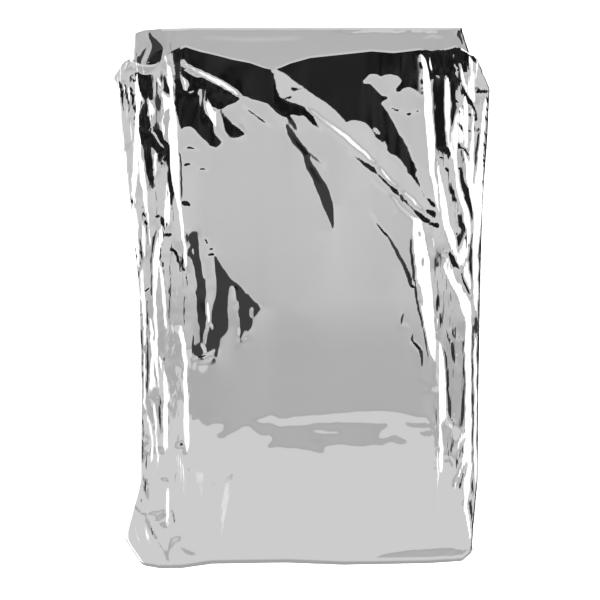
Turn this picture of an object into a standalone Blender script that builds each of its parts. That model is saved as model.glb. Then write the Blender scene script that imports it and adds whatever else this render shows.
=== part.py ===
"""A folded emergency foil blanket, lying flat on its back.

The blanket is one sheet of metallised film. Pleated in its width it makes a narrow strip, and the strip
is folded in half three times into a packet of eight leaves. The solid is that strip: one back-and-forth
section of eight leaves and seven turns, each leaf standing for a bundle of film layers.

The packet lies in the XY plane with its length along Y. Leaf 8 rests on Z = 0, leaf 1 is the front leaf
that faces +Z, and the last fold, which wraps all the others, is at -Y. Lengths in this file are in
millimetres until the mesh is made, where MM turns them to metres.
"""

import math
from collections import namedtuple

import bmesh
import bpy
import numpy as np

MM = 0.001

# Driving dimensions, in millimetres.
PACKET_LENGTH = 120.0
PACKET_WIDTH = 83.7
LEAF_COUNT = 8
LEAF_THICKNESS = 1.0
LEAF_PITCH = 1.5  # between the middles of two leaves that lie pressed together
INNER_SETBACK = 0.7  # how much further back the turn inside the front half's outer turn lies
LOFT = 2.6  # how much the packet puffs up in the middle, over all its leaves
DRAPE_SLOPE = 0.5  # the steepest that a leaf falls over the edge of those under it
DRAPE_REACH = 1.2  # how far past a leaf's edge the leaf above it starts to fall
REST_HOLLOW = 0.05  # how far the middle of the back leaf stands clear of the surface: it rests on its corners
REST_HALF_WIDTH = 36.5  # from the middle of the back leaf to the corners it rests on
REST_HALF_LENGTH = 51.5
REST_CENTRE_Y = 3.0

# The order in which the strip passes through the leaves. Folding in half three times gives this order.
STRIP_ORDER = (8, 1, 4, 5, 6, 3, 2, 7)

# The packet's outline, from the top end to the bottom end, as the left and right edge at each height y.
# The front half holds leaves 1 to 4 and the back half leaves 5 to 8.
Station = namedtuple("Station", "y front_left front_right back_left back_right")
OUTLINE = (
    Station(60.0, -37.0, 34.0, -36.6, 36.0),
    Station(53.5, -39.4, 39.4, -37.4, 37.2),
    Station(49.0, -41.8, 41.4, -37.4, 37.4),
    Station(46.0, -40.6, 41.8, -37.4, 37.6),
    Station(36.0, -40.3, 41.5, -37.2, 38.0),
    Station(22.0, -38.5, 40.4, -36.6, 38.2),
    Station(2.0, -36.4, 39.8, -35.6, 38.6),
    Station(-20.0, -35.8, 39.4, -35.4, 38.8),
    Station(-41.0, -36.0, 39.2, -35.8, 38.6),
    Station(-52.2, -39.0, 38.2, -39.0, 38.2),
    Station(-60.0, -39.0, 37.6, -39.0, 37.6),
)

# How far each leaf stops short of the outline, on its left and its right, at the heights in INSET_HEIGHTS.
Inset = namedtuple(
    "Inset", "leaf left_top left_middle left_low left_bottom right_top right_middle right_low right_bottom"
)
INSETS = (
    Inset(1, 0.4, 2.8, 2.4, 0.0, 0.2, 2.4, 2.6, 0.0),
    Inset(2, 3.0, 1.0, 0.8, 5.0, 2.8, 0.6, 1.0, 3.6),
    Inset(3, 3.0, 8.0, 7.6, 6.4, 2.8, 7.6, 8.2, 5.2),
    Inset(4, 1.2, 6.2, 5.8, 6.0, 1.0, 5.8, 6.4, 4.8),
    Inset(5, 0.0, 4.2, 4.4, 6.2, 0.0, 4.4, 4.6, 5.0),
    Inset(6, 0.8, 2.6, 2.8, 6.8, 0.8, 2.8, 3.0, 5.6),
    Inset(7, 1.2, 1.0, 1.4, 5.6, 1.0, 1.3, 1.1, 4.2),
    Inset(8, 0.6, 0.0, 0.0, 0.0, 0.6, 0.0, 0.0, 0.0),
)
INSET_HEIGHTS = (50.0, 2.0, -38.0, -54.0)

# The ends of the packet across its width, as height y at each x.
Edge = namedtuple("Edge", "x y")
FRONT_TOP = (
    Edge(-42.0, 51.6),
    Edge(-38.0, 53.8),
    Edge(-30.5, 54.9),
    Edge(-26.0, 56.2),
    Edge(-16.0, 53.8),
    Edge(-6.4, 51.4),
    Edge(-2.6, 53.2),
    Edge(10.8, 54.8),
    Edge(27.5, 55.3),
    Edge(34.2, 56.0),
    Edge(42.0, 52.4),
)
BACK_TOP = (
    Edge(-38.0, 58.6),
    Edge(-31.0, 59.8),
    Edge(-22.0, 60.0),
    Edge(38.0, 60.0),
)
BOTTOM = (
    Edge(-39.3, -54.2),
    Edge(-35.4, -58.6),
    Edge(-31.3, -60.0),
    Edge(-26.8, -59.9),
    Edge(-20.0, -58.9),
    Edge(-2.6, -58.6),
    Edge(9.3, -59.1),
    Edge(28.6, -58.8),
    Edge(35.6, -58.4),
    Edge(38.6, -55.6),
)

# Raised folds on the front leaf: from and to points, height, and the width of the slope at each side.
RIDGE_FOOT = 1.6  # a ridge reaches the leaf again at this many times its width
Ridge = namedtuple("Ridge", "name x1 y1 x2 y2 height lower_side upper_side")
RIDGES = (
    Ridge("diagonal_upper", -6.4, 50.0, 10.0, 36.0, 1.6, 1.9, 4.2),
    Ridge("diagonal_lower", 10.0, 36.0, 29.5, 17.0, 1.8, 1.8, 4.4),
    Ridge("diagonal_tail", 29.5, 17.0, 37.0, -1.0, 1.0, 1.8, 3.0),
    Ridge("left_crease_top", -30.4, 52.0, -27.2, 22.0, 0.9, 2.0, 2.0),
    Ridge("left_crease_middle", -27.2, 22.0, -26.2, -16.0, 0.9, 2.0, 2.0),
    Ridge("left_crease_low", -26.2, -16.0, -24.0, -46.0, 0.7, 2.2, 2.2),
    Ridge("right_crease_top", 27.6, 50.0, 28.0, 24.0, 0.9, 2.0, 2.0),
    Ridge("right_crease_middle", 25.6, 16.0, 29.6, -16.0, 1.0, 2.0, 2.0),
    Ridge("right_crease_low", 29.6, -16.0, 30.4, -48.0, 0.7, 2.0, 2.0),
    Ridge("left_pleat_outer", -36.4, 46.0, -33.0, 6.0, 0.9, 1.7, 1.7),
    Ridge("left_pleat_inner", -31.6, 10.0, -30.6, -38.0, 0.8, 1.7, 1.7),
    Ridge("right_pleat_outer", 35.6, 48.0, 36.2, 12.0, 0.9, 1.7, 1.7),
    Ridge("right_pleat_inner", 33.4, 4.0, 34.2, -34.0, 0.9, 1.7, 1.7),
)

RIDGE_FADE = 3.5  # the raised folds die out over this distance, just below the front leaf's top turn

# Mesh resolution: how many rows the front leaf and each turn have, where the rows of the other leaves
# lie as shares of their length, and the columns across the strip.
FRONT_ROWS = 37
LEAF_ROWS = (0.0, 0.06, 0.14, 0.3, 0.5, 0.72, 0.9, 1.0)  # closer together near the turns
TURN_ROWS = {(8, 1): 7, (1, 4): 5, (4, 5): 3, (5, 6): 3, (6, 3): 4, (3, 2): 3, (2, 7): 5}
SIDE_ZONE = 0.17  # the share of the width, at each side, that holds the upright pleats
FRONT_COLUMNS = (10, 20)  # in each side zone, and between them
PLAIN_COLUMNS = (5, 6)

GRID_X = 0.5  # spacing of the height grid on which the leaves are stacked
GRID_Y = 1.0
GRID_MARGIN = 4.0
SMOOTHING_PASSES = 10


def eased(t):
    """0 to 1 with a soft start and end."""
    t = np.clip(t, 0.0, 1.0)
    return t * t * (3.0 - 2.0 * t)


def between(table, column, at, key="y"):
    """The value of a table's column at a height or place between its rows."""
    keys = np.array([getattr(row, key) for row in table])
    values = np.array([getattr(row, column) for row in table])
    order = np.argsort(keys)
    return np.interp(at, keys[order], values[order])


def end_line(table, x):
    return between(table, "y", x, key="x")


def side_edge(leaf, side, y):
    """x of a leaf's left or right edge at height y."""
    half = "front" if leaf <= LEAF_COUNT // 2 else "back"
    row = INSETS[leaf - 1]
    insets = [getattr(row, f"{side}_{part}") for part in ("bottom", "low", "middle", "top")]
    inset = np.interp(y, INSET_HEIGHTS[::-1], insets)
    edge = between(OUTLINE, f"{half}_{side}", y)
    return edge + inset if side == "left" else edge - inset


def turn_reach(leaf_a, leaf_b):
    """How far the middle of a turn bulges past the line where it starts: it is round when pressed."""
    return abs(leaf_a - leaf_b) * LEAF_PITCH / 2


def turn_line(leaf, end, x):
    """y of the line where a leaf ends and its turn begins."""
    half_thickness = LEAF_THICKNESS / 2
    if end == "bottom":
        return end_line(BOTTOM, x) + turn_reach(1, LEAF_COUNT) + half_thickness
    if leaf <= LEAF_COUNT // 2:
        setback = INNER_SETBACK if leaf in (2, 3) else 0.0
        return end_line(FRONT_TOP, x) - turn_reach(1, 4) - half_thickness - setback
    return end_line(BACK_TOP, x) - turn_reach(5, 6) - half_thickness


class LeafStack:
    """Heights of the middles of the leaves, each draped on those under it, on a grid over the packet."""

    def __init__(self):
        half_width = PACKET_WIDTH / 2 + GRID_MARGIN
        half_length = PACKET_LENGTH / 2 + GRID_MARGIN
        self.x = np.arange(-half_width, half_width + GRID_X, GRID_X)
        self.y = np.arange(-half_length, half_length + GRID_Y, GRID_Y)
        grid_x, grid_y = np.meshgrid(self.x, self.y)
        lowest = LEAF_THICKNESS / 2 + self.rest_hollow(grid_x, grid_y)
        pitch = LEAF_PITCH + self.loft(grid_x, grid_y) / (LEAF_COUNT - 1)
        self.heights = {}
        for leaf in range(LEAF_COUNT, 0, -1):
            height = self.draped(lowest)
            if leaf == 1:
                height = height + front_relief(grid_x, grid_y)
            self.heights[leaf] = height
            covered = self.covered(leaf, grid_x, grid_y)
            lowest = np.where(covered, height + pitch, lowest)

    @staticmethod
    def loft(x, y):
        across = 1.0 - np.clip(np.abs(x) / (PACKET_WIDTH / 2), 0, 1) ** 4
        along = 1.0 - np.clip(np.abs(y + 4.0) / (PACKET_LENGTH / 2 - 8.0), 0, 1) ** 2.5
        return LOFT * across * along

    @staticmethod
    def rest_hollow(x, y):
        across, along = x / REST_HALF_WIDTH, (y - REST_CENTRE_Y) / REST_HALF_LENGTH
        return REST_HOLLOW * np.clip(1.0 - np.abs(across * along) ** 4, 0.0, 1.0)

    @staticmethod
    def covered(leaf, x, y):
        """Where a leaf lies, out to the reach at which the one above it starts to fall."""
        top = end_line(FRONT_TOP if leaf <= LEAF_COUNT // 2 else BACK_TOP, x)
        inside_left = x > side_edge(leaf, "left", y) - DRAPE_REACH
        inside_right = x < side_edge(leaf, "right", y) + DRAPE_REACH
        inside_ends = (y < top + DRAPE_REACH) & (y > end_line(BOTTOM, x) - DRAPE_REACH)
        return inside_left & inside_right & inside_ends

    @staticmethod
    def draped(lowest):
        """A sheet laid on the heights in lowest, that falls past an edge no steeper than DRAPE_SLOPE."""
        height = lowest.copy()
        for axis, step in ((1, GRID_X), (0, GRID_Y)):
            height = np.moveaxis(height, axis, 0)
            for i in range(1, len(height)):
                height[i] = np.maximum(height[i], height[i - 1] - DRAPE_SLOPE * step)
            for i in range(len(height) - 2, -1, -1):
                height[i] = np.maximum(height[i], height[i + 1] - DRAPE_SLOPE * step)
            height = np.moveaxis(height, 0, axis)
        for _ in range(SMOOTHING_PASSES):
            padded = np.pad(height, 1, mode="edge")
            along = padded[:-2, 1:-1] + padded[2:, 1:-1]
            across = padded[1:-1, :-2] + padded[1:-1, 2:]
            height = np.maximum((2.0 * height + along + across) / 6.0, lowest)
        return height

    def at(self, leaf, x, y):
        """Height of a leaf's middle at points, read between the grid's points."""
        column = np.clip((x - self.x[0]) / GRID_X, 0, len(self.x) - 1.001)
        row = np.clip((y - self.y[0]) / GRID_Y, 0, len(self.y) - 1.001)
        i, j = column.astype(int), row.astype(int)
        s, t = column - i, row - j
        grid = self.heights[leaf]
        low = grid[j, i] * (1 - s) + grid[j, i + 1] * s
        high = grid[j + 1, i] * (1 - s) + grid[j + 1, i + 1] * s
        return low * (1 - t) + high * t


def front_relief(x, y):
    """How far the front leaf is lifted by its raised folds."""
    lift = np.zeros_like(x)
    for ridge in RIDGES:
        run_x, run_y = ridge.x2 - ridge.x1, ridge.y2 - ridge.y1
        length = math.hypot(run_x, run_y)
        along = ((x - ridge.x1) * run_x + (y - ridge.y1) * run_y) / length
        beyond = np.maximum(np.maximum(-along, along - length), 0.0)
        across = ((y - ridge.y1) * run_x - (x - ridge.x1) * run_y) / length
        width = np.where(across > 0, ridge.upper_side, ridge.lower_side)
        distance = np.hypot(across / width, beyond / ridge.upper_side)
        lift = np.maximum(lift, ridge.height * eased(1.0 - distance / RIDGE_FOOT))
    return lift * eased((turn_line(1, "top", x) - y) / RIDGE_FADE)


def column_shares(side_count, middle_count):
    """Places of the columns across the strip, from 0 at the left edge to 1 at the right edge."""
    left = np.linspace(0, SIDE_ZONE, side_count + 1)
    middle = np.linspace(SIDE_ZONE, 1 - SIDE_ZONE, middle_count + 1)
    return np.concatenate([left, middle[1:-1], 1 - left[::-1]])


def row_of_leaf(stack, leaf, share_along, shares):
    """Points across a leaf, share_along of the way from its bottom turn line to its top one."""
    x = np.interp(shares, [0, 1], [-PACKET_WIDTH / 2, PACKET_WIDTH / 2])
    for _ in range(6):
        low, high = turn_line(leaf, "bottom", x), turn_line(leaf, "top", x)
        y = low + (high - low) * share_along
        x = side_edge(leaf, "left", y) * (1 - shares) + side_edge(leaf, "right", y) * shares
    return np.stack([x, y, stack.at(leaf, x, y)], axis=1)


def row_of_turn(start, end, outwards, reach, angle):
    """Points across a turn between two leaves' last rows, at an angle from 0 to pi around it."""
    share = eased(np.array(angle / math.pi))
    middle, half = (start + end) / 2, (start - end) / 2
    points = start * (1 - share) + end * share
    points[:, 1] = middle[:, 1] + half[:, 1] * math.cos(angle) + outwards * reach * math.sin(angle)
    points[:, 2] = middle[:, 2] + half[:, 2] * math.cos(angle)
    return points


def strip_rows(stack):
    """The rows of points of the whole strip, from one free end to the other."""
    rows = []
    towards_bottom = True
    for place, leaf in enumerate(STRIP_ORDER):
        shares = column_shares(*(FRONT_COLUMNS if leaf == 1 else PLAIN_COLUMNS))
        along = np.linspace(0, 1, FRONT_ROWS) if leaf == 1 else np.array(LEAF_ROWS)
        if towards_bottom:
            along = along[::-1]
        rows += [row_of_leaf(stack, leaf, share, shares) for share in along]
        if leaf != STRIP_ORDER[-1]:
            rows += turn_rows(stack, leaf, STRIP_ORDER[place + 1], towards_bottom)
        towards_bottom = not towards_bottom
    return rows


def turn_rows(stack, leaf, next_leaf, at_bottom):
    """The rows between two leaves' turn lines, without those lines."""
    shares = column_shares(*PLAIN_COLUMNS)
    end_share = 0.0 if at_bottom else 1.0
    start = row_of_leaf(stack, leaf, end_share, shares)
    end = row_of_leaf(stack, next_leaf, end_share, shares)
    reach = turn_reach(leaf, next_leaf)
    outwards = -1.0 if at_bottom else 1.0
    angles = np.linspace(0, math.pi, TURN_ROWS[leaf, next_leaf] + 2)[1:-1]
    return [row_of_turn(start, end, outwards, reach, angle) for angle in angles]


def join_rows(mesh, row, next_row):
    """Faces between two rows: quads where their columns match, and triangles where they don't.

    A quad's first corner is the one from which it is split in two. On the front leaf that split runs
    the same way as the diagonal fold.
    """
    if len(row) == len(next_row):
        for i in range(len(row) - 1):
            mesh.faces.new((row[i + 1], next_row[i + 1], next_row[i], row[i]))
        return
    i = j = 0
    while i < len(row) - 1 or j < len(next_row) - 1:
        step_row = j == len(next_row) - 1 or (
            i < len(row) - 1 and row[i + 1].co.x <= next_row[j + 1].co.x
        )
        if step_row:
            mesh.faces.new((row[i], row[i + 1], next_row[j]))
            i += 1
        else:
            mesh.faces.new((row[i], next_row[j + 1], next_row[j]))
            j += 1


def centred(rows):
    """The rows moved so that the strip's box is centred on the Z axis."""
    points = np.concatenate(rows)
    middle = (points.min(axis=0) + points.max(axis=0)) / 2
    middle[2] = 0.0
    return [row - middle for row in rows]


def film_material():
    """Bright metallised polyester film."""
    material = bpy.data.materials.new("metallised_film")
    material.use_nodes = True
    shader = material.node_tree.nodes["Principled BSDF"]
    shader.inputs["Base Color"].default_value = (0.86, 0.87, 0.88, 1.0)
    shader.inputs["Metallic"].default_value = 1.0
    shader.inputs["Roughness"].default_value = 0.08
    return material


def build_foil_sheet():
    """The folded strip as one solid: its middle surface, thickened evenly to both sides."""
    mesh = bmesh.new()
    rows = [
        [mesh.verts.new(point) for point in (row * MM).tolist()]
        for row in centred(strip_rows(LeafStack()))
    ]
    for row, next_row in zip(rows, rows[1:]):
        join_rows(mesh, row, next_row)
    bmesh.ops.recalc_face_normals(mesh, faces=mesh.faces)
    data = bpy.data.meshes.new("foil_sheet")
    mesh.to_mesh(data)
    mesh.free()
    data.materials.append(film_material())
    sheet = bpy.data.objects.new("foil_sheet", data)
    bpy.context.scene.collection.objects.link(sheet)
    thicken = sheet.modifiers.new("leaf_thickness", "SOLIDIFY")
    thicken.thickness = LEAF_THICKNESS * MM
    thicken.offset = 0.0
    data.shade_smooth()
    return sheet


def main():
    for leftover in list(bpy.data.objects):
        bpy.data.objects.remove(leftover)
    build_foil_sheet()


main()
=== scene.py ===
"""A folded emergency foil blanket, dressed as a Blender scene.

The blanket is one sheet of metallised polyester film. It is pleated in its width into a narrow strip, and
the strip is folded in half three times into a packet of eight leaves. The packet lies on its back leaf in
the XY plane with its length along Y, and the last fold, which wraps all the leaves, is at -Y. Lengths in
the tables are in millimetres. MM turns them to metres when the mesh is made.
"""

import math
from collections import namedtuple

import bpy
import numpy as np
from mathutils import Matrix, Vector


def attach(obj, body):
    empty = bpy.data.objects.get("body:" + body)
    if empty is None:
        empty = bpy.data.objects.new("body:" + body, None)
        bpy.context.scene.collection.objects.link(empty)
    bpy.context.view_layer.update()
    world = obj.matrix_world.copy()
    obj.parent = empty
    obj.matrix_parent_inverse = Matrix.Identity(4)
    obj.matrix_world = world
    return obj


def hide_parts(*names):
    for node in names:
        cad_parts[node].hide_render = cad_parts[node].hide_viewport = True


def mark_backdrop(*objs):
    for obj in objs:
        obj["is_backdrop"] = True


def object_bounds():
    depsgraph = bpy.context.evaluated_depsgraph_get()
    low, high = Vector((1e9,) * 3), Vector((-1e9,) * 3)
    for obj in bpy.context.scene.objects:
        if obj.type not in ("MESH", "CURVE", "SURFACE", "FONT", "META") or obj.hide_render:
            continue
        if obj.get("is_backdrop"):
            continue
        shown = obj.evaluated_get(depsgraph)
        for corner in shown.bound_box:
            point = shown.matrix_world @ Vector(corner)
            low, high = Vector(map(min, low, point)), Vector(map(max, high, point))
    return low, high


bl_info = {
    "name": "Folded Foil Blanket",
    "version": (1, 0, 0),
    "blender": (4, 5, 0),
    "location": "View3D > Sidebar > Foil Blanket",
    "description": "Models a folded sheet of metallised film, its finish and a plain studio",
    "category": "Object",
}

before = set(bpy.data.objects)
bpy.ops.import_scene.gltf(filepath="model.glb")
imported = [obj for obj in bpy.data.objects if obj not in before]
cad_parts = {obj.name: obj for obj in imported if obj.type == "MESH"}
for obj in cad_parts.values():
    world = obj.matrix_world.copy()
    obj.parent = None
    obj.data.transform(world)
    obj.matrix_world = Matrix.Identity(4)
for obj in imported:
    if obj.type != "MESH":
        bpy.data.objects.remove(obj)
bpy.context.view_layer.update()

MM = 0.001

# ---------- The packet: outline and stacking of the leaves, in millimetres ----------

PACKET_LENGTH = 120.0
PACKET_WIDTH = 83.7
LEAF_COUNT = 8
LEAF_THICKNESS = 1.0
LEAF_PITCH = 1.5  # between the middles of two leaves that lie pressed together
FRONT_GAP = 1.0  # how much further the front leaf stands off the one under it, over its own folds
BACK_GAP = 0.6  # the same for the front half off the back half
INNER_SETBACK = 0.7  # how much further back the turn inside the front half's outer turn lies
NOTCH_SETBACK = 1.2  # how much further still at the left, where the front edge has a notch
NOTCH_END_X = -28.0  # where that ends, and the width over which it does
NOTCH_FADE = 2.0
SHARP_TURNS = ((1, 4), (5, 6))  # the two turns of the top end that show are pressed to a sharp crease
SHARP_THICKNESS = 0.45  # a leaf's thickness there
SHARP_LENGTH = 6.0  # how far from those turns the leaves get thinner
BOTTOM_REACH = 0.65  # how far the turn around the bottom end bulges: its two corners are rounded
CORNER_START_X = -34.6  # where the cut corner at the left starts, around which the film is drawn tight
CORNER_WIDTH = 1.6  # the width over which it is drawn tight, and how much of the bulge that takes away
CORNER_PULL = 0.6
BOTTOM_BOW = 0.12  # how much further the middle of that turn stands out than its corners
BOTTOM_CREASE = 0.08  # how much the creases of the wrapping add to that, or take off
LONG_CREASE = 7.0  # the size of the long creases across the packet, and of the short ones among them
SHORT_CREASE = 2.4
CREASE_SQUASH = 3.0  # how much narrower the long ones are up the turn
DRAPE_SLOPE = 0.5  # the steepest that a leaf falls over the edge of those under it
DRAPE_REACH = 1.2  # how far past a leaf's edge the leaf above it starts to fall
REST_HOLLOW = 0.05  # how far the middle of the back leaf stands clear of the surface
REST_HALF_WIDTH = 36.5
REST_HALF_LENGTH = 51.5
REST_CENTRE_Y = 3.0
RIM_DEPTH = 0.22  # how far the folded film edges stand out past the flat of a leaf, at its sides

# The order in which the strip passes through the leaves. Folding in half three times gives this order.
STRIP_ORDER = (8, 1, 4, 5, 6, 3, 2, 7)

# The packet's outline, from the top end to the bottom end, as the left and right edge at each height y.
Station = namedtuple("Station", "y front_left front_right back_left back_right")
OUTLINE = (
    Station(60.0, -37.0, 34.0, -37.6, 36.2),
    Station(53.5, -39.4, 39.4, -38.0, 38.2),
    Station(49.2, -42.3, 41.0, -37.6, 37.8),
    Station(46.6, -40.9, 42.0, -37.4, 37.6),
    Station(36.0, -40.3, 41.5, -37.2, 38.0),
    Station(22.0, -38.5, 40.4, -36.6, 38.2),
    Station(2.0, -36.4, 39.8, -35.6, 38.6),
    Station(-20.0, -35.8, 39.4, -35.4, 38.8),
    Station(-41.0, -36.0, 39.2, -35.8, 38.6),
    Station(-52.2, -39.0, 38.2, -39.0, 38.2),
    Station(-60.0, -39.0, 37.6, -39.0, 37.6),
)

# How far each leaf stops short of the outline, on its left and its right, at the heights in INSET_HEIGHTS.
# The front leaf's pleats spread over the leaves under it.
Inset = namedtuple(
    "Inset", "leaf left_top left_middle left_low left_bottom right_top right_middle right_low right_bottom"
)
INSETS = (
    Inset(1, 0.1, 0.1, 0.1, 0.0, 0.1, 0.1, 0.1, 0.0),
    Inset(2, 3.0, 1.0, 0.8, 5.0, 2.8, 0.6, 1.0, 3.6),
    Inset(3, 3.0, 6.0, 5.6, 6.4, 2.8, 5.6, 6.2, 5.2),
    Inset(4, 1.2, 4.2, 3.8, 6.0, 1.0, 3.8, 4.4, 4.8),
    Inset(5, 0.0, 2.6, 2.8, 6.2, 0.0, 2.4, 2.6, 5.0),
    Inset(6, 0.8, 1.8, 2.0, 6.8, 0.8, 2.0, 2.2, 5.6),
    Inset(7, 1.2, 0.8, 1.2, 5.6, 1.0, 1.1, 0.9, 4.2),
    Inset(8, 0.6, 0.0, 0.0, 0.0, 0.6, 0.0, 0.0, 0.0),
)
INSET_HEIGHTS = (50.0, 2.0, -38.0, -54.0)

# The ends of the packet across its width, as x and y from left to right.
FRONT_TOP = (
    (-42.4, 49.9), (-39.7, 52.8), (-38.0, 53.6), (-37.4, 52.8), (-36.7, 52.4), (-35.6, 52.1),
    (-33.8, 52.0), (-32.6, 52.2), (-31.6, 53.0), (-30.6, 54.0), (-29.6, 54.8), (-26.0, 56.5),
    (-22.7, 55.4), (-16.0, 53.7), (-11.5, 52.9), (-8.4, 51.8), (-6.4, 51.4), (-4.8, 51.8), (-2.6, 52.8),
    (1.9, 54.1), (9.3, 54.9), (15.6, 55.6), (20.5, 55.2), (26.0, 55.8), (29.0, 55.1), (32.6, 55.8),
    (34.4, 56.5), (36.0, 55.6), (39.3, 53.4), (42.2, 46.8),
)
BACK_TOP = (
    (-38.0, 59.3), (-35.6, 60.2), (-31.0, 60.6), (-22.0, 60.8), (38.0, 60.8),
)
BOTTOM = (
    (-39.3, -54.0), (-37.6, -56.8), (-35.5, -59.8), (-31.3, -60.5), (-26.8, -60.4), (-20.0, -59.4),
    (-2.6, -59.2), (9.3, -59.7), (28.6, -59.3), (35.6, -58.8), (37.4, -57.2), (38.6, -54.8),
)

GRID_X = 0.5  # spacing of the height grid on which the leaves are stacked
GRID_Y = 1.0
GRID_MARGIN = 4.0
SMOOTHING_PASSES = 10
LOFT_STEP = 0.5  # spacing at which the leaves' puffing up is worked out
LAST_CELL = 1.001  # keeps a point on the edge of a grid in its last cell

# ---------- The front leaf's folds ----------

# The folds are drawn on a sheet of 600 by 600 points, x to the right and y down. These two place the
# sheet on the packet: the size of a point, and the point that lies on the packet's middle.
POINT = 0.2228
Place = namedtuple("Place", "x y")
SHEET_MIDDLE = Place(301.7, 297.75)

# Which way the film leans, as a slope to the right and a slope to the top. A smooth film is a mirror, so
# each range of slopes shows one part of the room. A fold may lie anywhere in its range.
Lean = namedtuple("Lean", "right_low right_high up_low up_high")
FLAT = Lean(-0.112, 0.112, -0.032, 0.084)
SOFT = Lean(-0.095, 0.095, -0.034, -0.010)
LOW = Lean(-0.100, 0.110, -0.250, -0.060)
PALE = Lean(-0.100, 0.110, 0.080, 0.094)
UP = Lean(-0.140, 0.200, 0.130, 0.420)
UP_LEFT = Lean(-0.200, -0.020, 0.130, 0.420)
UP_RIGHT = Lean(0.020, 0.300, 0.130, 0.420)
RIGHT = Lean(0.160, 0.380, -0.030, 0.200)
DEEP_RIGHT = Lean(0.280, 0.600, -0.030, 0.300)
STEEP_LEFT = Lean(-0.900, -0.250, -0.200, 0.080)
STEEP_LOW_LEFT = Lean(-0.900, -0.280, -0.700, -0.120)
RIB = Lean(0.195, 0.400, -0.030, 0.090)
FLECK = Lean(-0.100, 0.300, 0.200, 0.500)
HAZE = Lean(-0.180, -0.160, -0.250, -0.060)
GLOW = Lean(-0.262, -0.242, 0.130, 0.300)
MOTTLED = Lean(-0.175, -0.020, -0.030, 0.070)
SHEEN = Lean(-0.186, -0.170, -0.250, -0.050)
GLEAM = Lean(-0.215, -0.190, -0.250, 0.060)
DIM = Lean(0.126, 0.138, -0.230, 0.060)

# How far the film leans to the top where no fold is drawn, down the length of the sheet.
Fall = namedtuple("Fall", "y up")
PANEL_FALL = (
    Fall(20.0, 0.020), Fall(60.0, 0.060), Fall(190.0, 0.062), Fall(250.0, 0.052), Fall(300.0, 0.034),
    Fall(330.0, -0.010), Fall(350.0, -0.026), Fall(410.0, -0.030), Fall(452.0, -0.030),
    Fall(458.0, -0.092), Fall(540.0, -0.112), Fall(570.0, -0.135),
)
TOP_FALL = (Fall(20.0, 0.055), Fall(90.0, 0.055), Fall(120.0, 0.0))  # all the leaves thin out at the top
FLAP_LIFT = 0.08  # how far the back half's end stands off the leaf under it
FLAP_FALL = (Fall(0.0, -0.012), Fall(40.0, -0.008), Fall(100.0, 0.0))  # the same for the back half's end
LOWEST_FALL = (Fall(20.0, -0.037), Fall(410.0, -0.037), Fall(434.0, -0.200))  # the least that it may be
RAGGED_END = 3.4  # how far up or down that changes from streak to streak, in millimetres
PANEL_STRAY = 0.009  # how far the smooth panel may stray from its fall, and the crumpled sides
SIDE_STRAY = 0.040
SIDE_STREAKS = 0.030  # how much the fall changes from streak to streak in the crumpled sides
PANEL_SIDEWAYS = 0.085  # how far the film may lean to the left or the right where no fold is drawn


class Fold:
    """A part of the film that leans one way. Where two of them overlap, the later one counts."""

    def __init__(self, name, lean, *points):
        self.name, self.lean, self.points = name, lean, points


class Patch(Fold):
    """An area, by the x and y of the points of its outline."""


class Band(Fold):
    """A strip down the sheet, by levels of its y, its left edge and its right edge."""


class Line(Fold):
    """A crease, by the x, y and width of its points."""


# The panel below the middle, and the light ear at the top left with its shines and dark ticks.
LEFT_EAR = (
    Patch("lower_panel", LOW, (190, 464), (440, 464), (474, 490), (474, 566), (126, 566), (126, 505),
        (160, 470)),
    Patch("left_ear", MOTTLED, (113, 73), (118, 66), (124, 61), (132, 58), (133, 80), (132, 110),
        (131, 150), (130, 200), (126, 200), (121, 160), (119, 120), (116, 90)),
    Line("shine", GLEAM, (116, 74, 3), (122, 68, 5), (129, 61, 3)),
    Line("shine_low", GLEAM, (118, 78, 1), (125, 83, 2.4), (130, 82, 1.6)),
    Line("dark_a", RIB, (120.6, 83, 1), (120.8, 91, 2.8), (121.2, 100, 1.4)),
    Line("shine_a", STEEP_LEFT, (123, 86, 1), (123, 97, 1.6)),
    Line("dark_b", RIB, (125.4, 86, 1.6), (125.4, 92, 2.8), (125.8, 101, 1.2)),
    Line("shine_b", STEEP_LEFT, (127.8, 88, 1.2), (128, 98, 1.2)),
    Line("dark_c", RIB, (130.2, 86, 1.2), (130.4, 93, 2.4), (130.6, 99, 1)),
    Line("line_a", DIM, (121.6, 100, 1.2), (124, 122, 1.6), (125.6, 150, 1)),
    Line("line_b", RIB, (129.4, 112, 0.8), (127.6, 130, 1.6), (129, 146, 0.8)),
    Line("line_c", GLEAM, (121, 112, 1.2), (122.4, 128, 2.6), (125, 158, 2), (127, 180, 1.2)),
    Line("line_d", RIB, (131.4, 90, 1), (131.8, 104, 1.4), (131, 118, 1)),
)

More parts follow.
